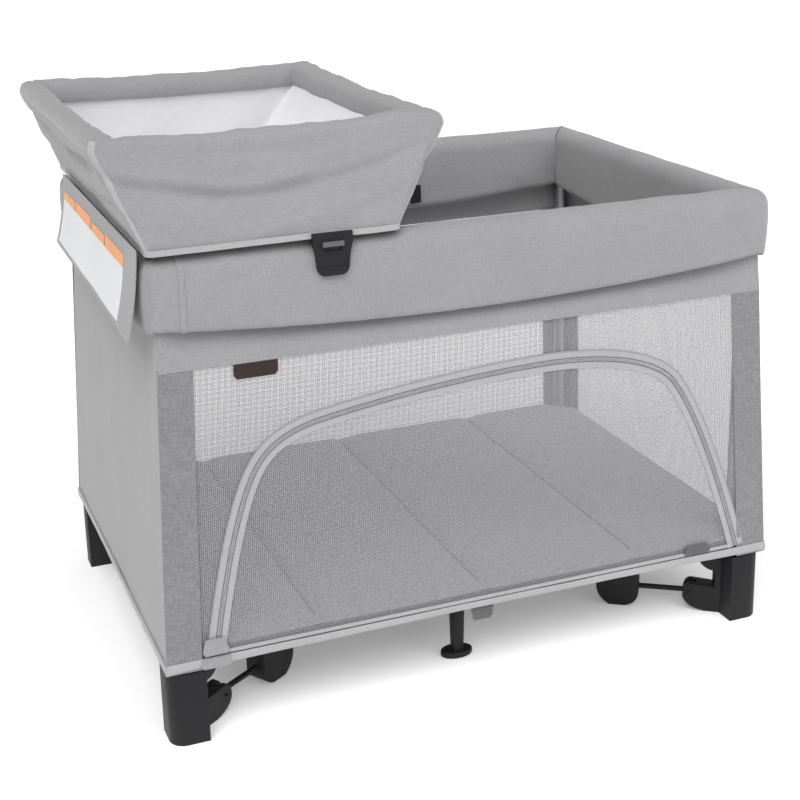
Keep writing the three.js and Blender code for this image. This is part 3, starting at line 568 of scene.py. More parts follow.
def arch_strip(name, low, high, proud, thickness, material, columns=5):
    """A strip that follows the arch, from low to high metres outside its line, proud of the nets."""
    count = 230
    offsets = np.linspace(low, high, columns)
    lines = np.stack([arch_line(count, o)[0] for o in offsets])
    walked = arch_line(count)[1]
    depth = slack(lines[..., 0], lines[..., 1], HALF_X, NET_BOW) - NET_IN + proud
    grid = on_side("front", lines[..., 0], lines[..., 1], depth)
    weave = np.stack(np.broadcast_arrays(walked[None, :], offsets[:, None]), axis=2)
    return sheet_from(name, grid, thickness, material, weave=weave)


def hem_strip(side):
    """A wall's hem: a flat piping folded over the edge of the cloth, a little proud of it. Its lower edge
    rises by a few millimetres in the middle of the side."""
    low, high, rise = HEM + 5 * MM, HEM + HEM_HIGH, 6 * MM
    half = SIDES[side]["half"] + 1.2 * MM
    s, v = np.meshgrid(np.linspace(-half, half, 121), np.linspace(0, 1, 7))
    z = high + (low + rise * np.cos(np.pi * s / (2 * half)) ** 0.5 - high) * v
    points = flat_points(s, z)
    depth = 0.7 * MM + 1.2 * MM * np.sin(np.pi * v) + 0.5 * MM * ripple(points, (14, 1, 1), 5)
    z = z + 0.8 * MM * ripple(points, (9, 1, 1), 8)
    return sheet_from(f"{side}_hem", on_side(side, s, z, depth), 3 * MM, TAPE, weave=np.stack([s, z], axis=2))


def top_strip(side, s0, s1, columns, name):
    """A stretch of the cloth strip along a wall's top, which leans in under the band in the side's middle."""
    half = SIDES[side]["half"]
    deepest = 34 * MM
    s, z = np.meshgrid(np.linspace(s0, s1, columns), np.linspace(WALL_TOP, STRIP_LOW, 18))
    points = flat_points(s, z)
    rise = smooth_step((z - STRIP_LOW - 8 * MM) / (WALL_TOP - STRIP_LOW))
    recess = deepest * np.cos(np.pi * s / (2 * half)) ** 0.5 * rise
    soft = 2.6 * MM * ripple(points, (5, 22, 1), 6) + 1.2 * MM * ripple(points, (16, 30, 1), 7)
    grid = on_side(side, s, z, 1.2 * MM - recess + soft * (0.4 + 0.6 * rise))
    return sheet_from(name, grid, 1.6 * MM, GREY, weave=np.stack([s, z], axis=2))


def dress_wall(side, solid):
    """One wall: its cloth or net between two corner strips that stay with their posts, with a top strip and
    a hem."""
    half = SIDES[side]["half"]
    middle_end = half - STIFF
    low = HEM + 2 * MM
    top = WALL_TOP if solid else NET_TOP
    if side == "front":
        main = front_net()
    elif solid:
        grid, weave = wall_grid(side, -middle_end, middle_end, low, top, 90, 50,
                                -NET_IN, CLOTH_CRUMPLE, 3, CLOTH_BOW)
        main = sheet_from(f"{side}_cloth", grid, CLOTH_THICK, GREY_FLAT, weave=weave)
    else:
        grid, weave = wall_grid(side, -middle_end, middle_end, low, top, 90, 50,
                                -NET_IN, 0.6 * MM, 3, CLOTH_BOW)
        main = sheet_from(f"{side}_net", grid, NET_THICK, NET, weave=weave)
    gathered = [hem_strip(side)]
    stiff = {}
    for sign, body in zip((-1, 1), ENDS[side]):
        tag = body[-2:]
        if solid:
            grid, weave = wall_grid(side, sign * (half - 1 * MM), sign * middle_end, low, WALL_TOP, 12, 50,
                                    -NET_IN, CLOTH_CRUMPLE, 3, CLOTH_BOW)
            stiff[sheet_from(f"{side}_end_cloth_{tag}", grid, CLOTH_THICK, GREY_FLAT, weave=weave)] = body
            continue
        grid, weave = wall_grid(side, sign * (half + 0.4 * MM), sign * (half - STRIP_WIDE), HEM + 3 * MM,
                                STRIP_LOW + 6 * MM, 12, 60, 0.2 * MM, 1.4 * MM, 9)
        stiff[sheet_from(f"{side}_corner_strip_{tag}", grid, 1.4 * MM, SPACER, weave=weave)] = body
        end_strip = top_strip(side, sign * (half - 1 * MM), sign * middle_end, 10, f"{side}_top_strip_{tag}")
        stiff[end_strip] = body
    if not solid:
        gathered.append(top_strip(side, -middle_end, middle_end, 110, f"{side}_top_strip"))
    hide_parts(f"{side}_wall")
    for piece, body in stiff.items():
        place_piece(piece, body)
    fold_with(main, side)
    for piece in gathered:
        fold_with(piece, side)


for side_name in SIDES:
    dress_wall(side_name, solid=side_name == "left")


# ---- Door and its zip -------------------------------------------------------------------------
def dress_door():
    """The door and its halves of the zip drop outwards; the wall's half of the zip stays with the wall."""
    panel = door_net()
    tape_in = arch_strip("door_zip_tape", -15 * MM, -3 * MM, 2.0 * MM, 1.2 * MM, TAPE)
    coil_in = arch_strip("door_zip_coil", -3 * MM, -0.3 * MM, 2.2 * MM, 2.0 * MM, COIL)
    # A dark line along the coil's edge: a seam, with painted shade beside the raised coil.
    seam_shade_in = arch_strip("door_zip_seam", -4.2 * MM, -3.2 * MM, 3.0 * MM, 0.7 * MM, DARK_THREAD_AND_SHADE, columns=2)
    # The tape along the sill ends inside the arch's two feet.
    left, right, high = -462 * MM, 482 * MM, 6 * MM
    s, v = np.meshgrid(np.linspace(left, right, 90), np.linspace(0, 1, 5))
    z = SILL - 1.5 * MM + high * (1 - v)
    base = sheet_from("door_lower_tape", on_side("front", s, z, 0.6 * MM), 1.2 * MM, TAPE,
                      weave=np.stack([s, z], axis=2))
    pieces = [tape_in, coil_in, seam_shade_in, base]
    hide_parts("door_panel")
    for piece in [panel, *pieces]:
        fold_with(piece, "front", "door")
    outer = [
        arch_strip("front_zip_tape", 3 * MM, 16 * MM, 2.0 * MM, 1.2 * MM, TAPE),
        arch_strip("front_zip_coil", 0.3 * MM, 3 * MM, 2.2 * MM, 2.0 * MM, COIL),
        # A dark line along the coil's edge: a seam, with painted shade beside the raised coil.
        arch_strip("front_zip_seam", 3.2 * MM, 4.2 * MM, 3.0 * MM, 0.7 * MM, DARK_THREAD_AND_SHADE, columns=2),
        arch_strip("front_zip_edge", 14.6 * MM, 16.4 * MM, 2.4 * MM, 1.4 * MM, GREY, columns=3),
    ]
    for piece in outer:
        fold_with(piece, "front")


dress_door()


# ---- Padded top band --------------------------------------------------------------------------
BAND_COLUMNS = 72
CORNER_ROUND = 24 * MM


def band_section(count):
    """The band's section: offsets outwards and up from the rail's axis, round from the inner lower corner.
    Its top is full and round, and its lower edge is folded crisply under."""
    top = BAND_TOP - RAIL_Z
    low = BAND_BOTTOM - RAIL_Z
    # Each corner's place, its radius and the direction, in degrees, that its round starts in.
    rounds = [(-BAND_IN, low, 12 * MM, 270), (-BAND_IN, top, 25 * MM, 180), (BAND_OUT, top, 27 * MM, 90),
              (BAND_OUT, low, 6 * MM, 0)]
    points = []
    for u, w, radius, start in rounds:
        centre_u = u + radius * (1 if u < 0 else -1)
        centre_w = w + radius * (1 if w == low else -1)
        for t in np.linspace(0, 1, 9):
            a = math.radians(start - 90 * t)
            points.append((centre_u + radius * math.cos(a), centre_w + radius * math.sin(a)))
    points = np.array(points)
    closed = np.concatenate([points, points[:1]])
    walked = np.concatenate([[0], np.cumsum(np.linalg.norm(np.diff(closed, axis=0), axis=1))])
    even = np.linspace(0, walked[-1], count, endpoint=False)
    return np.stack([np.interp(even, walked, closed[:, i]) for i in (0, 1)], axis=1)


def band_line(side, s, o, z, long_side):
    """A point of the band: s along the side, o outwards from the rail's axis."""
    cos, sin = SIDES[side]["right"]
    away = (POST_Y if long_side else POST_X) + o
    return np.stack([CENTRE_X + cos * s + sin * away, sin * s - cos * away, z], axis=-1)


# Rows of sections: square to the side as far as the rail's hinge, fanned out from there to the mitre,
# and round the corner's outer edge.
BAND_ROWS = 62
BAND_FAN_ROWS = 16
BAND_ARC_ROWS = 14
# The lower edge is lifted by this at a corner, and hangs this much lower in the middle of a long side.
BAND_LIFT = 12 * MM
BAND_HANG = 26 * MM
# Where each side's folds fall in the noise that shapes them.
BAND_SEED = {"front": 11, "back": 23, "left": 37, "right": 51}


def band_grid(side, sign):
    """Half of one side's band, from the side's middle to the mitre at its corner, one section to a row.
    Also gives each point's place in the cloth."""
    long_side = side in LONG_SIDES
    corner = POST_X if long_side else POST_Y
    hinge = CENTRE_X - pin.x if long_side else -side_pin.y
    section = band_section(BAND_COLUMNS)
    o, z = section[:, 0], section[:, 1]
    pivot = BAND_OUT - CORNER_ROUND  # from the rail's axis to the centre of the corner's outer round
    d = o - pivot
    mitre = corner + pivot + np.minimum(d, 0)
    rows = BAND_ROWS + BAND_FAN_ROWS + BAND_ARC_ROWS
    share = np.linspace(0, 1, rows)
    grid = np.zeros((rows, BAND_COLUMNS, 3))
    for i in range(rows):
        fan = np.clip((i - BAND_ROWS + 1) / BAND_FAN_ROWS, 0, 1)
        turn = max(i - BAND_ROWS - BAND_FAN_ROWS + 1, 0) / BAND_ARC_ROWS * math.pi / 4
        s = hinge * min(i / (BAND_ROWS - 1), 1) + (mitre - hinge) * fan
        s = np.where(d > 0, s + d * math.sin(turn), s)
        across = np.where(d > 0, pivot + d * math.cos(turn), o)
        grid[i] = np.stack([s, across, z], axis=1)
    s, across, level = grid[..., 0], grid[..., 1], grid[..., 2]
    reach = np.clip(s / corner, 0, 1)
    # The lower edge hangs lower in the middle of a side than at its corners, and more so on a long side.
    depth = smooth_step((BAND_TOP - RAIL_Z - level) / (BAND_TOP - BAND_BOTTOM))
    hang = (BAND_HANG * np.cos(reach * math.pi / 2) ** 0.8 - BAND_LIFT) * depth * (1 if long_side else 0.7)
    seed = BAND_SEED[side]
    points = np.stack([s * sign, across, level], axis=2)
    inner = smooth_step(0.5 - across / (30 * MM))
    soft = (1.6 * MM * ripple(points, (5, 12, 9), seed) + 0.9 * MM * ripple(points, (17, 26, 22), seed + 1)
            + 0.4 * MM * ripple(points, (55, 60, 30), seed + 2))
    # Folds of the slack cloth: upright ones inside, and short slanting ones by the corners and the edge.
    slant = points.copy()
    slant[..., 0] += 0.6 * level * sign
    crease = 2.6 * MM * ripple(slant, (26, 8, 5), seed + 5) * smooth_step((reach - 0.66) / 0.3)
    fold = 4.0 * MM * ripple(points, (11, 4, 5), seed + 7) * inner
    edge = 1.4 * MM * ripple(points, (38, 10, 8), seed + 9) * smooth_step((depth - 0.75) / 0.25)
    mid = (BAND_OUT - BAND_IN) / 2
    push = np.clip((across - mid) / (18 * MM), -1, 1)
    top_push = smooth_step((level - 10 * MM) / (20 * MM))
    # The folds die out at the mitre, so that the two sides' ends meet there.
    calm = smooth_step((1.0 - share)[:, None] * 12)
    crown = np.sin(np.pi * np.clip((level - (BAND_BOTTOM - RAIL_Z)) / (BAND_TOP - BAND_BOTTOM), 0, 1))
    grid[..., 1] += push * (soft + crease + fold + edge) * calm
    grid[..., 1] += 4 * MM * crown * push * calm - 2 * MM * push
    grid[..., 2] += soft * top_push * calm - hang
    walked = np.stack([s * sign, np.broadcast_to(lengths(grid, 1)[0], s.shape)], axis=2)
    placed = band_line(side, grid[..., 0] * sign, grid[..., 1], RAIL_Z + grid[..., 2], long_side)
    return placed, walked


def band_part(name, side, sign, first, last):
    """The padding of a band half between two rows of its grid."""
    placed, walked = band_grid(side, sign)
    return tube_from(name, placed[first:last + 1], GREY, walked[first:last + 1])


def band_stitching(name, side, sign, place):
    """A raised upright seam over the band's top and down its outside, at that row of its grid."""
    placed, _ = band_grid(side, sign)
    cut = placed[place - 1:place + 2, 24:66]
    out = normals_of(cut)
    centre = placed[place].mean(axis=0)
    out = out * np.sign(np.sum(out * (cut - centre), axis=2, keepdims=True))
    return sheet_from(name, cut + out * 0.5 * MM, 1.4 * MM, GREY)


# Each side's halves: which way they lie, their end and the corner body that they meet.
BANDS = [
    ("front", -1, "left", "corner_fl"), ("front", 1, "right", "corner_fr"),
    ("back", 1, "left", "corner_bl"), ("back", -1, "right", "corner_br"),
    ("left", 1, "front", "corner_fl"), ("left", -1, "back", "corner_bl"),
    ("right", -1, "front", "corner_fr"), ("right", 1, "back", "corner_br"),
]


def dress_band(side, sign, end, corner_body):
    """The padding is parted at the rail's hinge: the long piece swings with its rail, and the end piece stays
    with the corner."""
    hinge_row = BAND_ROWS - 1
    last_row = BAND_ROWS + BAND_FAN_ROWS + BAND_ARC_ROWS - 1
    band_node = f"{side}_band_{end}"
    long_piece = band_part(f"{band_node}_padding", side, sign, 0, hinge_row)
    end_piece = band_part(f"{band_node}_end_padding", side, sign, hinge_row, last_row)
    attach(long_piece, f"{side}_rail_{end}")
    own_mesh(long_piece)
    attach(end_piece, corner_body)
    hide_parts(band_node)
    if side in LONG_SIDES:
        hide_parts(f"band_corner_{corner_body[-2:]}")


for entry in BANDS:
    dress_band(*entry)
seam_strip = band_stitching("front_band_seam_strip", "front", -1, BAND_ROWS + 8)
place_piece(seam_strip, "corner_fl")


def band_tab():
    """A black tab sewn to the back band's inner face."""
    x, z = np.meshgrid(np.linspace(150 * MM, 172 * MM, 7),
                       np.linspace(BAND_BOTTOM + 4 * MM, BAND_BOTTOM + 40 * MM, 9))
    y = POST_Y - BAND_IN - 7 * MM
    grid = np.stack(np.broadcast_arrays(CENTRE_X + x, y, z), axis=2)
    tab = sheet_from("back_band_tab", grid, 3 * MM, BLACK)
    place_piece(tab, "back_rail_right")
    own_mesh(tab)


band_tab()


# ---- Mattress and floor ------------------------------------------------------------------------
# Each inner panel of the mattress is this wide. The padding fills PUFF of the full thickness up and down
# from its middle, and SEAM_SHARE of that is left at a seam.
PANEL_WIDE = 294 * MM
PANEL_ROUND = 12 * MM
PUFF = 0.46
SEAM_SHARE = 0.2
CORNER_REACH = 75 * MM
CORNER_DRAW = 30 * MM


def mattress_half(sign):
    """Two padded panels with sewn channels between them, joined to the other half at the middle seam."""
    node = "mattress_right" if sign > 0 else "mattress_left"
    low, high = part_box(node)
    length = high.x - low.x
    half_y = high.y
    full = high.z - low.z
    s, y = np.meshgrid(np.linspace(0, length, 130), np.linspace(-half_y, half_y, 100))
    # The share of the full thickness: pinched at the seams and rounded at the edges.
    to_seam = np.minimum(np.abs(s - PANEL_WIDE), s)
    pinch = 0.75 * np.exp(-(to_seam / (8 * MM)) ** 2) + 0.16 * np.exp(-(to_seam / (35 * MM)) ** 2)
    to_edge = np.clip(np.minimum(length - s, half_y - np.abs(y)) / PANEL_ROUND, 0, 1)
    share = np.clip(1 - pinch, SEAM_SHARE, 1) * (1 - 0.75 * np.sqrt(1 - to_edge ** 2))
    points = flat_points(s * sign, y)
    wave = 1.6 * MM * ripple(points, (6, 6, 1), 71) + 0.8 * MM * ripple(points, (24, 18, 1), 72)
    top = low.z + full * (0.5 + PUFF * share) + wave * share
    bottom = low.z + full * (0.5 - PUFF * share)
    # The corners are drawn in clear of the posts, and the two halves just clear of each other.
    cut = smooth_step(np.minimum(s - length, np.abs(y) - half_y) / CORNER_REACH + 1) * CORNER_DRAW
    x = CENTRE_X + sign * (s + 0.3 * MM - cut)
    drawn_y = y - np.sign(y) * cut
    made = slab_from(f"{node}_padding", np.stack([x, drawn_y, top], axis=2),
                     np.stack([x, drawn_y, bottom], axis=2), np.stack([s * sign, y], axis=2), MATTRESS)
    place_piece(made, node, node)
    pieces = [made]
    # Sewn seams, dark with painted channel shade: the outer one on each half, and the middle one on the left half.
    y, v = np.meshgrid(np.linspace(-half_y + 25 * MM, half_y - 25 * MM, 60), np.linspace(-1, 1, 3))
    for i, place in enumerate((PANEL_WIDE, 2 * MM) if sign < 0 else (PANEL_WIDE,)):
        x = CENTRE_X + sign * place + 1.6 * MM * v
        level = low.z + full * (0.5 + PUFF * SEAM_SHARE) + 1.4 * MM + 0 * y
        thread = sheet_from(f"{node}_seam_{i + 1}", np.stack([x, y, level], axis=2), 1.0 * MM, DARK_THREAD_AND_SHADE)
        pieces.append(place_piece(thread, node))
    for piece in pieces:
        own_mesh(piece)


mattress_half(1)
mattress_half(-1)


def floor_quarter(name, sx, sy, body):
    """A quarter of the floor sheet, which goes up with its base leg."""
    low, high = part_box("floor_sheet")
    level = (low.z + high.z) / 2
    margin = 6 * MM
    s, v = np.meshgrid(np.linspace(0.0, 1.0, 30), np.linspace(0.0, 1.0, 24))
    x = CENTRE_X + sx * s * (HALF_X - margin)
    y = sy * v * (HALF_Y - margin)
    z = level + 0.8 * MM * ripple(flat_points(x, y), (8, 8, 1), 31)
    piece = sheet_from(name, np.stack([x, y, z], axis=2), CLOTH_THICK, GREY_FLAT,
                       weave=np.stack([x, y], axis=2))
    place_piece(piece, body)
    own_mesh(piece)
    return piece


quarters = [floor_quarter(f"floor_{corner}", sx, sy, f"leg_{corner}") for corner, sx, sy in CORNERS]
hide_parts("floor_sheet")


# ---- Changing tray ------------------------------------------------------------------------------
rim_low, rim_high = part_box("tray_rim")
frame_low, frame_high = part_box("tray_frame")
TRAY_BODY = "changing_tray"
BASE = {"x0": frame_low.x - 1 * MM, "x1": frame_high.x + 1 * MM, "y": frame_high.y + 1 * MM}
RIM = {"x0": rim_low.x, "x1": rim_high.x, "y": rim_high.y}


# Points round the tray: RING_SIDE to each side, of which the first RING_ARC go round its corner.
RING_SIDE = 50
RING_ARC = 6
RING = 4 * RING_SIDE


def ring(rect, radius):
    """Points round a rounded rectangle from its front left corner, with the same number on each side."""
    x0, x1, y = rect["x0"], rect["x1"], rect["y"]
    # Each corner, the direction of the side that starts there, and the direction inwards from that side.
    corners = [(x0, -y, 1, 0, 0, 1), (x1, -y, 0, 1, -1, 0), (x1, y, -1, 0, 0, -1), (x0, y, 0, -1, 1, 0)]
    run = RING_SIDE - RING_ARC
    points = []
    for i, (cx, cy, ax, ay, bx, by) in enumerate(corners):
        nx, ny = corners[(i + 1) % 4][:2]
        # The turn into this side, then the straight run to the next corner's round.
        for k in range(RING_ARC):
            t = (k / RING_ARC - 0.5) * math.pi / 2
            out_x, out_y = -(ax + bx) / math.sqrt(2), -(ay + by) / math.sqrt(2)
            points.append((cx + radius * (ax + bx + out_x * math.cos(t) - out_y * math.sin(t)),
                           cy + radius * (ay + by + out_x * math.sin(t) + out_y * math.cos(t))))
        start = np.array([cx + radius * ax, cy + radius * ay])
        stop = np.array([nx - radius * ax, ny - radius * ay])
        for k in range(run):
            points.append(tuple(start + (stop - start) * (k / (run - 1))))
    return np.array(points)


def mix_rect(a, b, t):
    """A rectangle that share of the way from one to another."""
    return {key: a[key] + (b[key] - a[key]) * t for key in a}


def inset_rect(a, inset):
    """A rectangle that much smaller all round."""
    return {"x0": a["x0"] + inset, "x1": a["x1"] - inset, "y": a["y"] - inset}


def side_of_ring():
    """For each point round the ring, how far along its side it is, 0 to 1, and which side."""
    k = np.arange(RING)
    return (k % RING_SIDE) / (RING_SIDE - 1), k // RING_SIDE


# How the cloth rolls over the rim, in millimetres: inwards from the rim's edge, and up from its top.
RIM_ROLL = [(0, -22), (1, -12), (5, -4), (13, 0), (24, -1),
            (36, -4), (45, -10), (49, -20), (49, -32), (46, -40)]


def edge_lift(grid):
    """How the cloth's lower edge lifts and dips between its tacks."""
    return 2.0 * MM * ripple(flat_points(grid[..., 0], grid[..., 1]), (9, 9, 1), 63)


def tray_cloth():
    """Outer cloth: up the flared sides, over the padded rim and down inside it, in one piece.
    The sides swag between the corners, in folds that droop from corner to corner."""
    low, high = frame_low.z + 4 * MM, rim_high.z - 22 * MM
    along, which = side_of_ring()
    a = along[None, :]
    wall_rows = 44
    roll = []
    corners = np.array(RIM_ROLL, float) * MM
    step = np.concatenate([[0], np.cumsum(np.linalg.norm(np.diff(corners, axis=0), axis=1))])
    for d in np.linspace(0, step[-1], 30)[1:]:
        roll.append((np.interp(d, step, corners[:, 0]), np.interp(d, step, corners[:, 1])))
    rows = wall_rows + len(roll)
    grid = np.zeros((rows, RING, 3))
    for i in range(rows):
        if i < wall_rows:
            t = i / (wall_rows - 1)
            r = mix_rect(BASE, RIM, t)
            radius, level = 10 * MM + 12 * MM * t, low + (high - low) * t
        else:
            inset, drop = roll[i - wall_rows]
            r = inset_rect(RIM, inset)
            radius, level = max(22 * MM - 0.4 * inset, 5 * MM), rim_high.z - 1 * MM + drop
        grid[i, :, :2] = ring(r, radius)
        grid[i, :, 2] = level
    n = normals_of(grid, around=True)
    heart = np.array([(BASE["x0"] + BASE["x1"]) / 2, 0, low - 0.2])
    n = n * np.sign(np.sum(n[:wall_rows] * (grid[:wall_rows] - heart), axis=(0, 1)).sum() or 1)
    t = np.clip(np.arange(rows) / (wall_rows - 1), 0, 1)[:, None]
    over = np.clip((np.arange(rows) - wall_rows + 1) / len(roll), 0, 1)[:, None]
    bend = np.sin(np.pi * a)
    # Each fold is a line that hangs lower in the middle of a side than at its two corners.
    turned = which[None, :] * 1.7
    line = t + 0.42 * (1 - (2 * a - 1) ** 2)
    wave = np.sin(line * 13 + turned)
    folds = (wave + 0.35 * np.sin(line * 27 + turned * 2)) * np.exp(-((t - 0.58) / 0.30) ** 2) * bend ** 0.5
    points = flat_points(a * 3 + which[None, :] * 5.0, line)
    rough = ripple(points, (2.0, 4.0, 1), 61)
    fine = ripple(points, (6, 9, 1), 62)
    wall = 1 - over
    pull = np.sin(np.pi * np.clip(t * 0.85 + 0.05, 0, 1))
    depth = (-11 * MM * bend * pull * wall + 7.5 * MM * folds * (0.7 + 0.6 * rough) * wall
             + 3.2 * MM * rough * bend * wall + 1.0 * MM * fine)
    # The rim is gathered by the corners, and dips a little along its sides.
    rolled = np.sin(np.pi * np.clip(over * 0.9 + 0.1, 0, 1))
    gather = ripple(grid, (38, 38, 8), 82) * (1 - 0.75 * bend) * rolled
    soft = ripple(grid, (9, 9, 16), 83)
    run = flat_points(a * 0.7 + over * 0.02 + which[None, :], over)
    pleats = ripple(run, (34, 1.2, 1), 84) * rolled * (1 - 0.5 * bend)
    depth = depth + (2.6 * MM * gather + 2.2 * MM * soft + 4.2 * MM * pleats) * smooth_step(t * 4 - 2.6)
    grid = grid + n * depth[..., None]
    grid[..., 2] -= 5 * MM * bend * smooth_step(t * 3 - 2)
    grid[..., 2] += edge_lift(grid) * (1 - t)
    return grid, n, wall_rows


def tray_seams(grid, n, wall_rows):
    """The piped seams down the four corners of the tray's cloth."""
    seams = []
    for corner in range(4):
        place = corner * RING_SIDE + RING_ARC // 2
        down, across = slice(1, wall_rows + 6), slice(place - 1, place + 2)
        line = grid[down, across] + n[down, across] * 0.9 * MM
        seams.append(sheet_from(f"tray_corner_seam_{corner + 1}", line, 1.6 * MM, TAPE))
    return seams


def tray_rim_padding():
    """Foam roll inside the rim's cloth."""
    rows = 20
    width, height = 39 * MM, 20 * MM
    grid = np.zeros((RING, rows, 3))
    for j, t in enumerate(np.linspace(0, 2 * math.pi, rows, endpoint=False)):
        inset = 5 * MM + width / 2 * (1 + math.cos(t))
        grid[:, j, :2] = ring(inset_rect(RIM, inset), max(17 * MM - inset * 0.4, 4 * MM))
        grid[:, j, 2] = rim_high.z - 22 * MM + height / 2 * math.sin(t)
    closed = np.concatenate([grid, grid[:1]], axis=0)
    weave = np.stack([lengths(closed, 0), lengths(closed, 1)], axis=2)[:-1]
    index = np.arange(RING * rows).reshape(RING, rows)
    onward, round_it = np.roll(index, -1, axis=0), np.roll(index, -1, axis=1)
    faces = np.stack([index, onward, np.roll(onward, -1, axis=1), round_it], axis=2).reshape(-1, 4)
    return build("tray_rim_padding", grid.reshape(-1, 3), faces, GREY, weave.reshape(-1, 2))


def tray_lining():
    """White lining: from the rim's inner edge down to the pad and in under it."""
    rows = 40
    wall_share = 0.55
    under_pad = 170 * MM
    inner = inset_rect(RIM, 43 * MM)
    floor = inset_rect(BASE, 22 * MM)
    top = rim_high.z - 34 * MM
    low = frame_high.z + 8 * MM
    grid = np.zeros((rows, RING, 3))
    for i in range(rows):
        t = i / (rows - 1)
        down = min(t / wall_share, 1)
        inwards = max(t - wall_share, 0) / (1 - wall_share)
        grid[i, :, :2] = ring(inset_rect(mix_rect(inner, floor, down), inwards * under_pad), 12 * MM)
        grid[i, :, 2] = top + (low - top) * down ** 0.85
    t = np.linspace(0, 1, rows)[:, None]
    pucker = 3.0 * MM * ripple(grid, (10, 10, 14), 91) + 1.2 * MM * ripple(grid, (30, 30, 26), 92)
    grid[..., 2] += pucker * smooth_step(t * 6) * smooth_step((0.9 - t) * 5)
    return sheet_from("tray_lining", grid, 1.5 * MM, WHITE, around=True)


def tray_cushion():
    """The white pad: crowned, with soft puckered edges."""
    low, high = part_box("tray_pad")
    u, v = np.meshgrid(np.linspace(-1, 1, 70), np.linspace(-1, 1, 110))
    x = (low.x + high.x) / 2 + u * (high.x - low.x) / 2 * 0.99
    y = v * high.y * 0.99
    edge = 1 - np.maximum(np.abs(u), np.abs(v))
    crown = np.clip(edge / 0.16, 0, 1) ** 0.5
    points = flat_points(x, y)
    wave = 1.8 * MM * ripple(points, (9, 9, 1), 95) + 0.8 * MM * ripple(points, (26, 26, 1), 96)
    full = high.z - low.z + 4 * MM
    top = low.z + 1.5 * MM + full * crown * (0.85 + 0.15 * np.cos(u * 1.2)) + wave * crown
    bottom = low.z + 1 * MM + 0 * crown
    return slab_from("tray_pad_padding", np.stack([x, y, top], axis=2), np.stack([x, y, bottom], axis=2),
                     np.stack([x, y], axis=2), WHITE)


def tray_piping():
    """The bound lower edge of the tray's cloth."""
    rows = 5
    grid = np.zeros((rows, RING, 3))
    grid[..., :2] = ring(inset_rect(BASE, -1.5 * MM), 11 * MM)
    grid[..., 2] = frame_low.z + 2 * MM + np.linspace(0, 9 * MM, rows)[:, None]
    grid[..., 2] += edge_lift(grid)
    return sheet_from("tray_piping", grid, 2.4 * MM, TAPE, around=True)


# The flap's label and its coloured headings: upper and lower edge as shares of the flap's drop, and the
# first and last columns of its grid.
LABEL_PATCHES = [
    ("tray_label", 0.34, 0.96, 8, 58, LABEL),
    ("tray_label_header_one", 0.19, 0.34, 8, 22, ORANGE),
    ("tray_label_header_two", 0.23, 0.34, 22, 33, ORANGE),
    ("tray_label_header_three", 0.19, 0.34, 33, 47, ORANGE),
    ("tray_label_header_four", 0.23, 0.34, 47, 58, ORANGE),
]


def tray_flap_cloth():
    """The end flap over the pen's left end, its lower corner kicked out, with a blank label."""
    low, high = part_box("tray_flap")
    columns, rows = 60, 34
    u, v = np.meshgrid(np.linspace(0, 1, columns), np.linspace(0, 1, rows))
    y = low.y + (high.y - low.y) * u
    z = high.z + 4 * MM - (high.z - low.z + 2 * MM) * v * (1 - 0.10 * u)
    kick = (high.x - 2 * MM) - (6 * MM * v + 15 * MM * v ** 2)
    x = kick + 2.0 * MM * ripple(flat_points(y, z), (9, 7, 1), 101) * v
    grid = np.stack([x, y, z], axis=2)
    weave = np.stack([y, z], axis=2)
    flap = sheet_from("tray_flap_cloth", grid, CLOTH_THICK, GREY, weave=weave)
    patches = []
    for name, upper, lower, first, last, material in LABEL_PATCHES:
        down = slice(int(upper * (rows - 1)), int(lower * (rows - 1)) + 1)
        across = slice(first, last)
        proud = grid[down, across] - np.array([1.3 * MM, 0, 0])
        patches.append(sheet_from(name, proud, 0.5 * MM, material, weave=weave[down, across]))
    return flap, patches


def dress_tray():
    """The tray's cloths, padding and label, which all go with the tray."""
    outer_grid, outer_normals, wall_rows = tray_cloth()
    outer = sheet_from("tray_outer_cloth", outer_grid, 2.0 * MM, GREY, around=True)
    seams = tray_seams(outer_grid, outer_normals, wall_rows)
    place_piece(outer, TRAY_BODY, "tray_shell")
    piping = tray_piping()
    for piece in (piping, *seams):
        place_piece(piece, TRAY_BODY)
    rim = place_piece(tray_rim_padding(), TRAY_BODY, "tray_rim")
    lining = place_piece(tray_lining(), TRAY_BODY)
    cushion = place_piece(tray_cushion(), TRAY_BODY, "tray_pad")
    flap, patches = tray_flap_cloth()
    place_piece(flap, TRAY_BODY, "tray_flap")
    for patch in patches:
        place_piece(patch, TRAY_BODY)


def dress_clip(end):
    """A clip that holds the tray on a rail, with a soft plate let into its face."""
    node, body = f"tray_clip_{end}", f"clip_{end}"
    moulding(f"{node}_moulding", node, body, 0.8 * MM)
    low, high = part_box(node)
    proud = 0.2 * MM
    face = low.y - proud if end == "front" else high.y + proud
    x, z = np.meshgrid(np.linspace(-17 * MM, 17 * MM, 9), np.linspace(-4 * MM, 4 * MM, 5))
    grid = np.stack(np.broadcast_arrays((low.x + high.x) / 2 + x, face, high.z - 17 * MM + z), axis=2)
    place_piece(sheet_from(f"{node}_plate", grid, 1.2 * MM, RUBBER), body)


dress_tray()
dress_clip("front")
dress_clip("back")


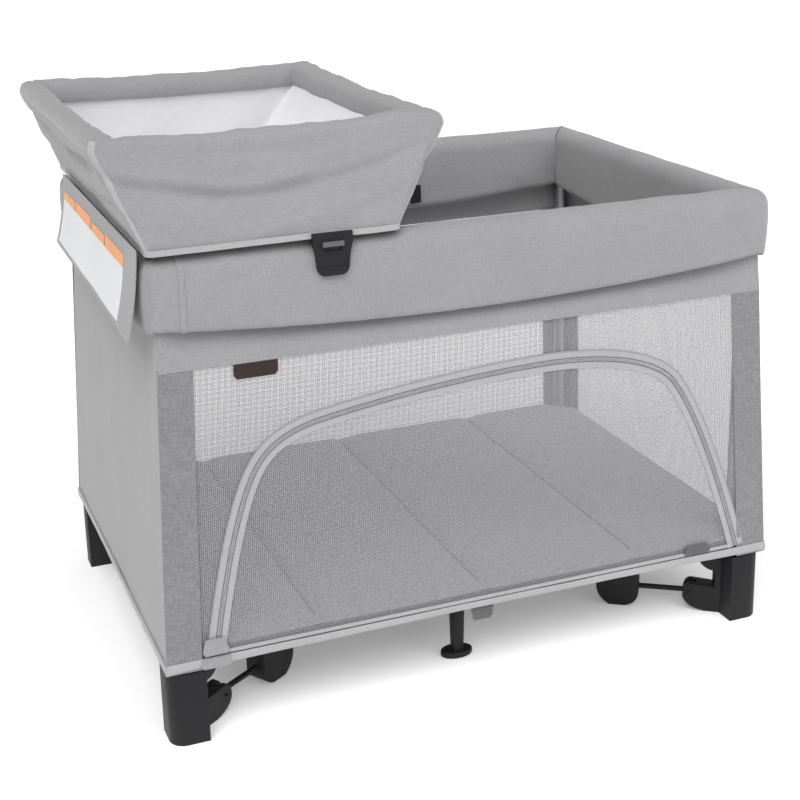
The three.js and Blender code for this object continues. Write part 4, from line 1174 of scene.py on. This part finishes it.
# ---- Feet, legs and trim --------------------------------------------------------------------------
def bolt_head(name, at, direction, radius, body):
    """A round socket screw head let into the plastic."""
    bpy.ops.object.select_all(action="DESELECT")
    bpy.ops.mesh.primitive_cylinder_add(vertices=24, radius=radius, depth=3 * MM, location=(0, 0, 0))
    made = bpy.context.active_object
    made.name = name
    bpy.ops.object.mode_set(mode="EDIT")
    bpy.ops.mesh.select_mode(type="FACE")
    bpy.ops.mesh.select_all(action="DESELECT")
    bpy.ops.object.mode_set(mode="OBJECT")
    for face in made.data.polygons:
        face.select = face.normal.z > 0.9
    bpy.ops.object.mode_set(mode="EDIT")
    bpy.ops.mesh.inset(thickness=radius * 0.4, depth=0)
    bpy.ops.mesh.extrude_region_move(TRANSFORM_OT_translate={"value": (0, 0, -1.2 * MM)})
    bpy.ops.object.mode_set(mode="OBJECT")
    made.data.materials.append(BLACK)
    round_edges(made, 0.4 * MM, 2, 30, 35)
    turn = Vector((0, 0, 1)).rotation_difference(Vector(direction)).to_matrix().to_4x4()
    made.data.transform(Matrix.Translation(Vector(at)) @ turn)
    place_piece(made, body)


def oval_pad(name, at, body):
    """The wide sole under a middle leg, just clear of the ground."""
    bpy.ops.object.select_all(action="DESELECT")
    bpy.ops.mesh.primitive_cylinder_add(vertices=48, radius=1, depth=1, location=(0, 0, 0))
    made = bpy.context.active_object
    made.name = name
    half_wide, half_deep, height = 29 * MM, 19 * MM, 11 * MM
    made.data.transform(Matrix.Translation(Vector(at) + Vector((0, 0, height / 2 + 0.4 * MM)))
                        @ Matrix.Diagonal((half_wide, half_deep, height, 1)))
    made.data.materials.append(BLACK)
    round_edges(made, 3 * MM, 4, 30, 35)
    place_piece(made, body)


# The two bolts of each foot: how far in along the diagonal, their height and their radius.
FOOT_BOLTS = (("tab", 46 * MM, 112 * MM, 4.5 * MM), ("pin", 72 * MM, 35 * MM, 4 * MM))
ARM_HALF = 16.4 * MM


def dress_base():
    """The moulded feet and legs, with their bolts and soles."""
    diagonal = Vector((POST_X, POST_Y, 0)).normalized()
    for corner, sx, sy in CORNERS:
        moulding(f"foot_{corner}_moulding", f"foot_{corner}", f"corner_{corner}", 2.2 * MM, 3)
        moulding(f"base_leg_{corner}_moulding", f"base_leg_{corner}", f"leg_{corner}", 1.6 * MM)
        inward = Vector((-sx * diagonal.x, -sy * diagonal.y, 0))
        # The bolts' heads are on the side of the arm that faces the front.
        across = Vector((inward.y, -inward.x, 0))
        if across.y > 0:
            across = -across
        post = Vector((CENTRE_X + sx * POST_X, sy * POST_Y, 0))
        for tag, reach, height, radius in FOOT_BOLTS:
            at = post + inward * reach + across * ARM_HALF + Vector((0, 0, height))
            bolt_head(f"foot_{corner}_{tag}_bolt", at, across, radius, f"corner_{corner}")
    for leg in ("mid_leg_front", "mid_leg_back"):
        moulding(f"{leg}_moulding", leg, leg, 1.2 * MM)
        low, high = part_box(leg)
        reach = low.y + 16 * MM if leg == "mid_leg_front" else high.y - 16 * MM
        oval_pad(f"{leg}_pad", ((low.x + high.x) / 2, reach, 0), leg)


dress_base()


def small_patch(name, low_edge, high_edge, z0, z1, out, thickness, material, body):
    """A small tag on the front wall, with rounded lower corners. Its lower and upper edges run between two
    places along the wall, at the heights z0 and z1."""
    a, b = np.meshgrid(np.linspace(0, 1, 17), np.linspace(0, 1, 9))
    low = low_edge[0] + (low_edge[1] - low_edge[0]) * a
    high = high_edge[0] + (high_edge[1] - high_edge[0]) * a
    rounding = np.clip((0.22 - b) / 0.22, 0, 1) * (2 * a - 1) ** 8
    s = low + (high - low) * b - (a - 0.5) * rounding * 10 * MM
    grid = on_side("front", s, z0 + (z1 - z0) * b, out)
    made = sheet_from(name, grid[::-1], thickness, material)
    fold_with(made, "front", body)


small_patch("brown_leather_tag", (-0.428, -0.355), (-0.428, -0.355), 0.594, 0.6175,
            1.5 * MM, 1.8 * MM, LEATHER, "corner_fl")
small_patch("rubber_tag", (0.380, 0.438), (0.388, 0.428), 0.153, 0.170,
            3.4 * MM, 2.0 * MM, RUBBER, "door")
small_patch("zip_end_cover", (-0.494, -0.447), (-0.488, -0.457), 0.1525, 0.180,
            4.4 * MM, 1.6 * MM, GREY, "door")
small_patch("zip_end_cover_hem", (-0.496, -0.446), (-0.494, -0.447), 0.131, 0.1478,
            4.6 * MM, 1.6 * MM, GREY, "corner_fl")
small_patch("webbing_tab", (-0.026, 0.010), (-0.028, 0.012), 0.112, 0.134,
            -4 * MM, 1.4 * MM, DARK_THREAD_AND_SHADE, "corner_fl")


# ---- Finishes of the CAD pieces that show ----------------------------------------------------------
slot_of = {row["node"]: row["material_slot"] for row in frame["record"]["subparts"]}
FINISH = {"black_plastic": BLACK, "black_tube": BLACK_TUBE, "bare_tube": BARE_TUBE, "grey_cloth": GREY,
          "grey_mesh": NET, "mattress_cloth": MATTRESS, "white_cloth": WHITE}
for node_name, node_object in frame["nodes"].items():
    node_object.data.materials.clear()
    node_object.data.materials.append(FINISH[slot_of[node_name]])


# ---- Studio ------------------------------------------------------------------------------------------
FLOOR_SIZE = 240
FLOOR_GLOW = 0.16
SKY_STRENGTH = 0.40
# A very soft key from the upper left front, and a weak fill from the right: where each shines from, its
# strength, and how wide its sun is in degrees.
LIGHTS = (("key", (-2.2, -3.0, 4.4), 2.1, 40), ("fill", (1.5, -3.0, 3.4), 1.1, 55))


def studio():
    """A plain pale floor in a white surround, under two soft lights."""
    bpy.ops.object.select_all(action="DESELECT")
    bpy.ops.mesh.primitive_plane_add(size=FLOOR_SIZE, location=(0, 0, 0))
    floor = bpy.context.active_object
    floor.name = "studio_floor"
    # Matt white paper, lit a little from below, as a light table is, so that the shadow stays pale.
    material, _, _ = new_material("pale_studio_floor", Roughness=0.9, Base_Color=linear("#fbfbfb"),
                                  Emission_Color=linear("#ffffff"), Emission_Strength=FLOOR_GLOW)
    floor.data.materials.append(material)
    world = bpy.data.worlds.new("studio")
    bpy.context.scene.world = world
    world.use_nodes = True
    background = world.node_tree.nodes["Background"]
    background.inputs[0].default_value = linear("#ffffff")
    background.inputs[1].default_value = SKY_STRENGTH
    for name, where, strength, spread in LIGHTS:
        light = bpy.data.lights.new(name, "SUN")
        light.energy = strength
        light.angle = math.radians(spread)
        lamp = bpy.data.objects.new(name, light)
        lamp.location = where
        lamp.rotation_euler = (-Vector(where)).to_track_quat("-Z", "Y").to_euler()
        bpy.context.scene.collection.objects.link(lamp)


# The camera: its place from the pen's middle, how far it is turned to the right, down and over, in degrees,
# and its lens.
EYE = (-0.957, -2.470, 1.346)
TURNS = (21.233, 16.293, -1.264)
LENS_MM = 67.81
SHIFT_UP = -0.125


def camera():
    """A camera above the pen's front left corner."""
    yaw, pitch, roll = (math.radians(a) for a in TURNS)
    forward = Vector((math.sin(yaw) * math.cos(pitch), math.cos(yaw) * math.cos(pitch), -math.sin(pitch)))
    right = Vector((math.cos(yaw), -math.sin(yaw), 0))
    up = right.cross(forward)
    right = right * math.cos(roll) + up * math.sin(roll)
    up = right.cross(forward)
    data = bpy.data.cameras.new("camera")
    data.lens = LENS_MM
    data.shift_y = SHIFT_UP
    made = bpy.data.objects.new("camera", data)
    turned = Matrix((right, up, -forward)).transposed().to_4x4()
    made.matrix_world = Matrix.Translation(Vector((CENTRE_X, 0, 0)) + Vector(EYE)) @ turned
    bpy.context.scene.collection.objects.link(made)
    bpy.context.scene.camera = made


studio()
camera()
bpy.context.scene.view_settings.view_transform = "Standard"
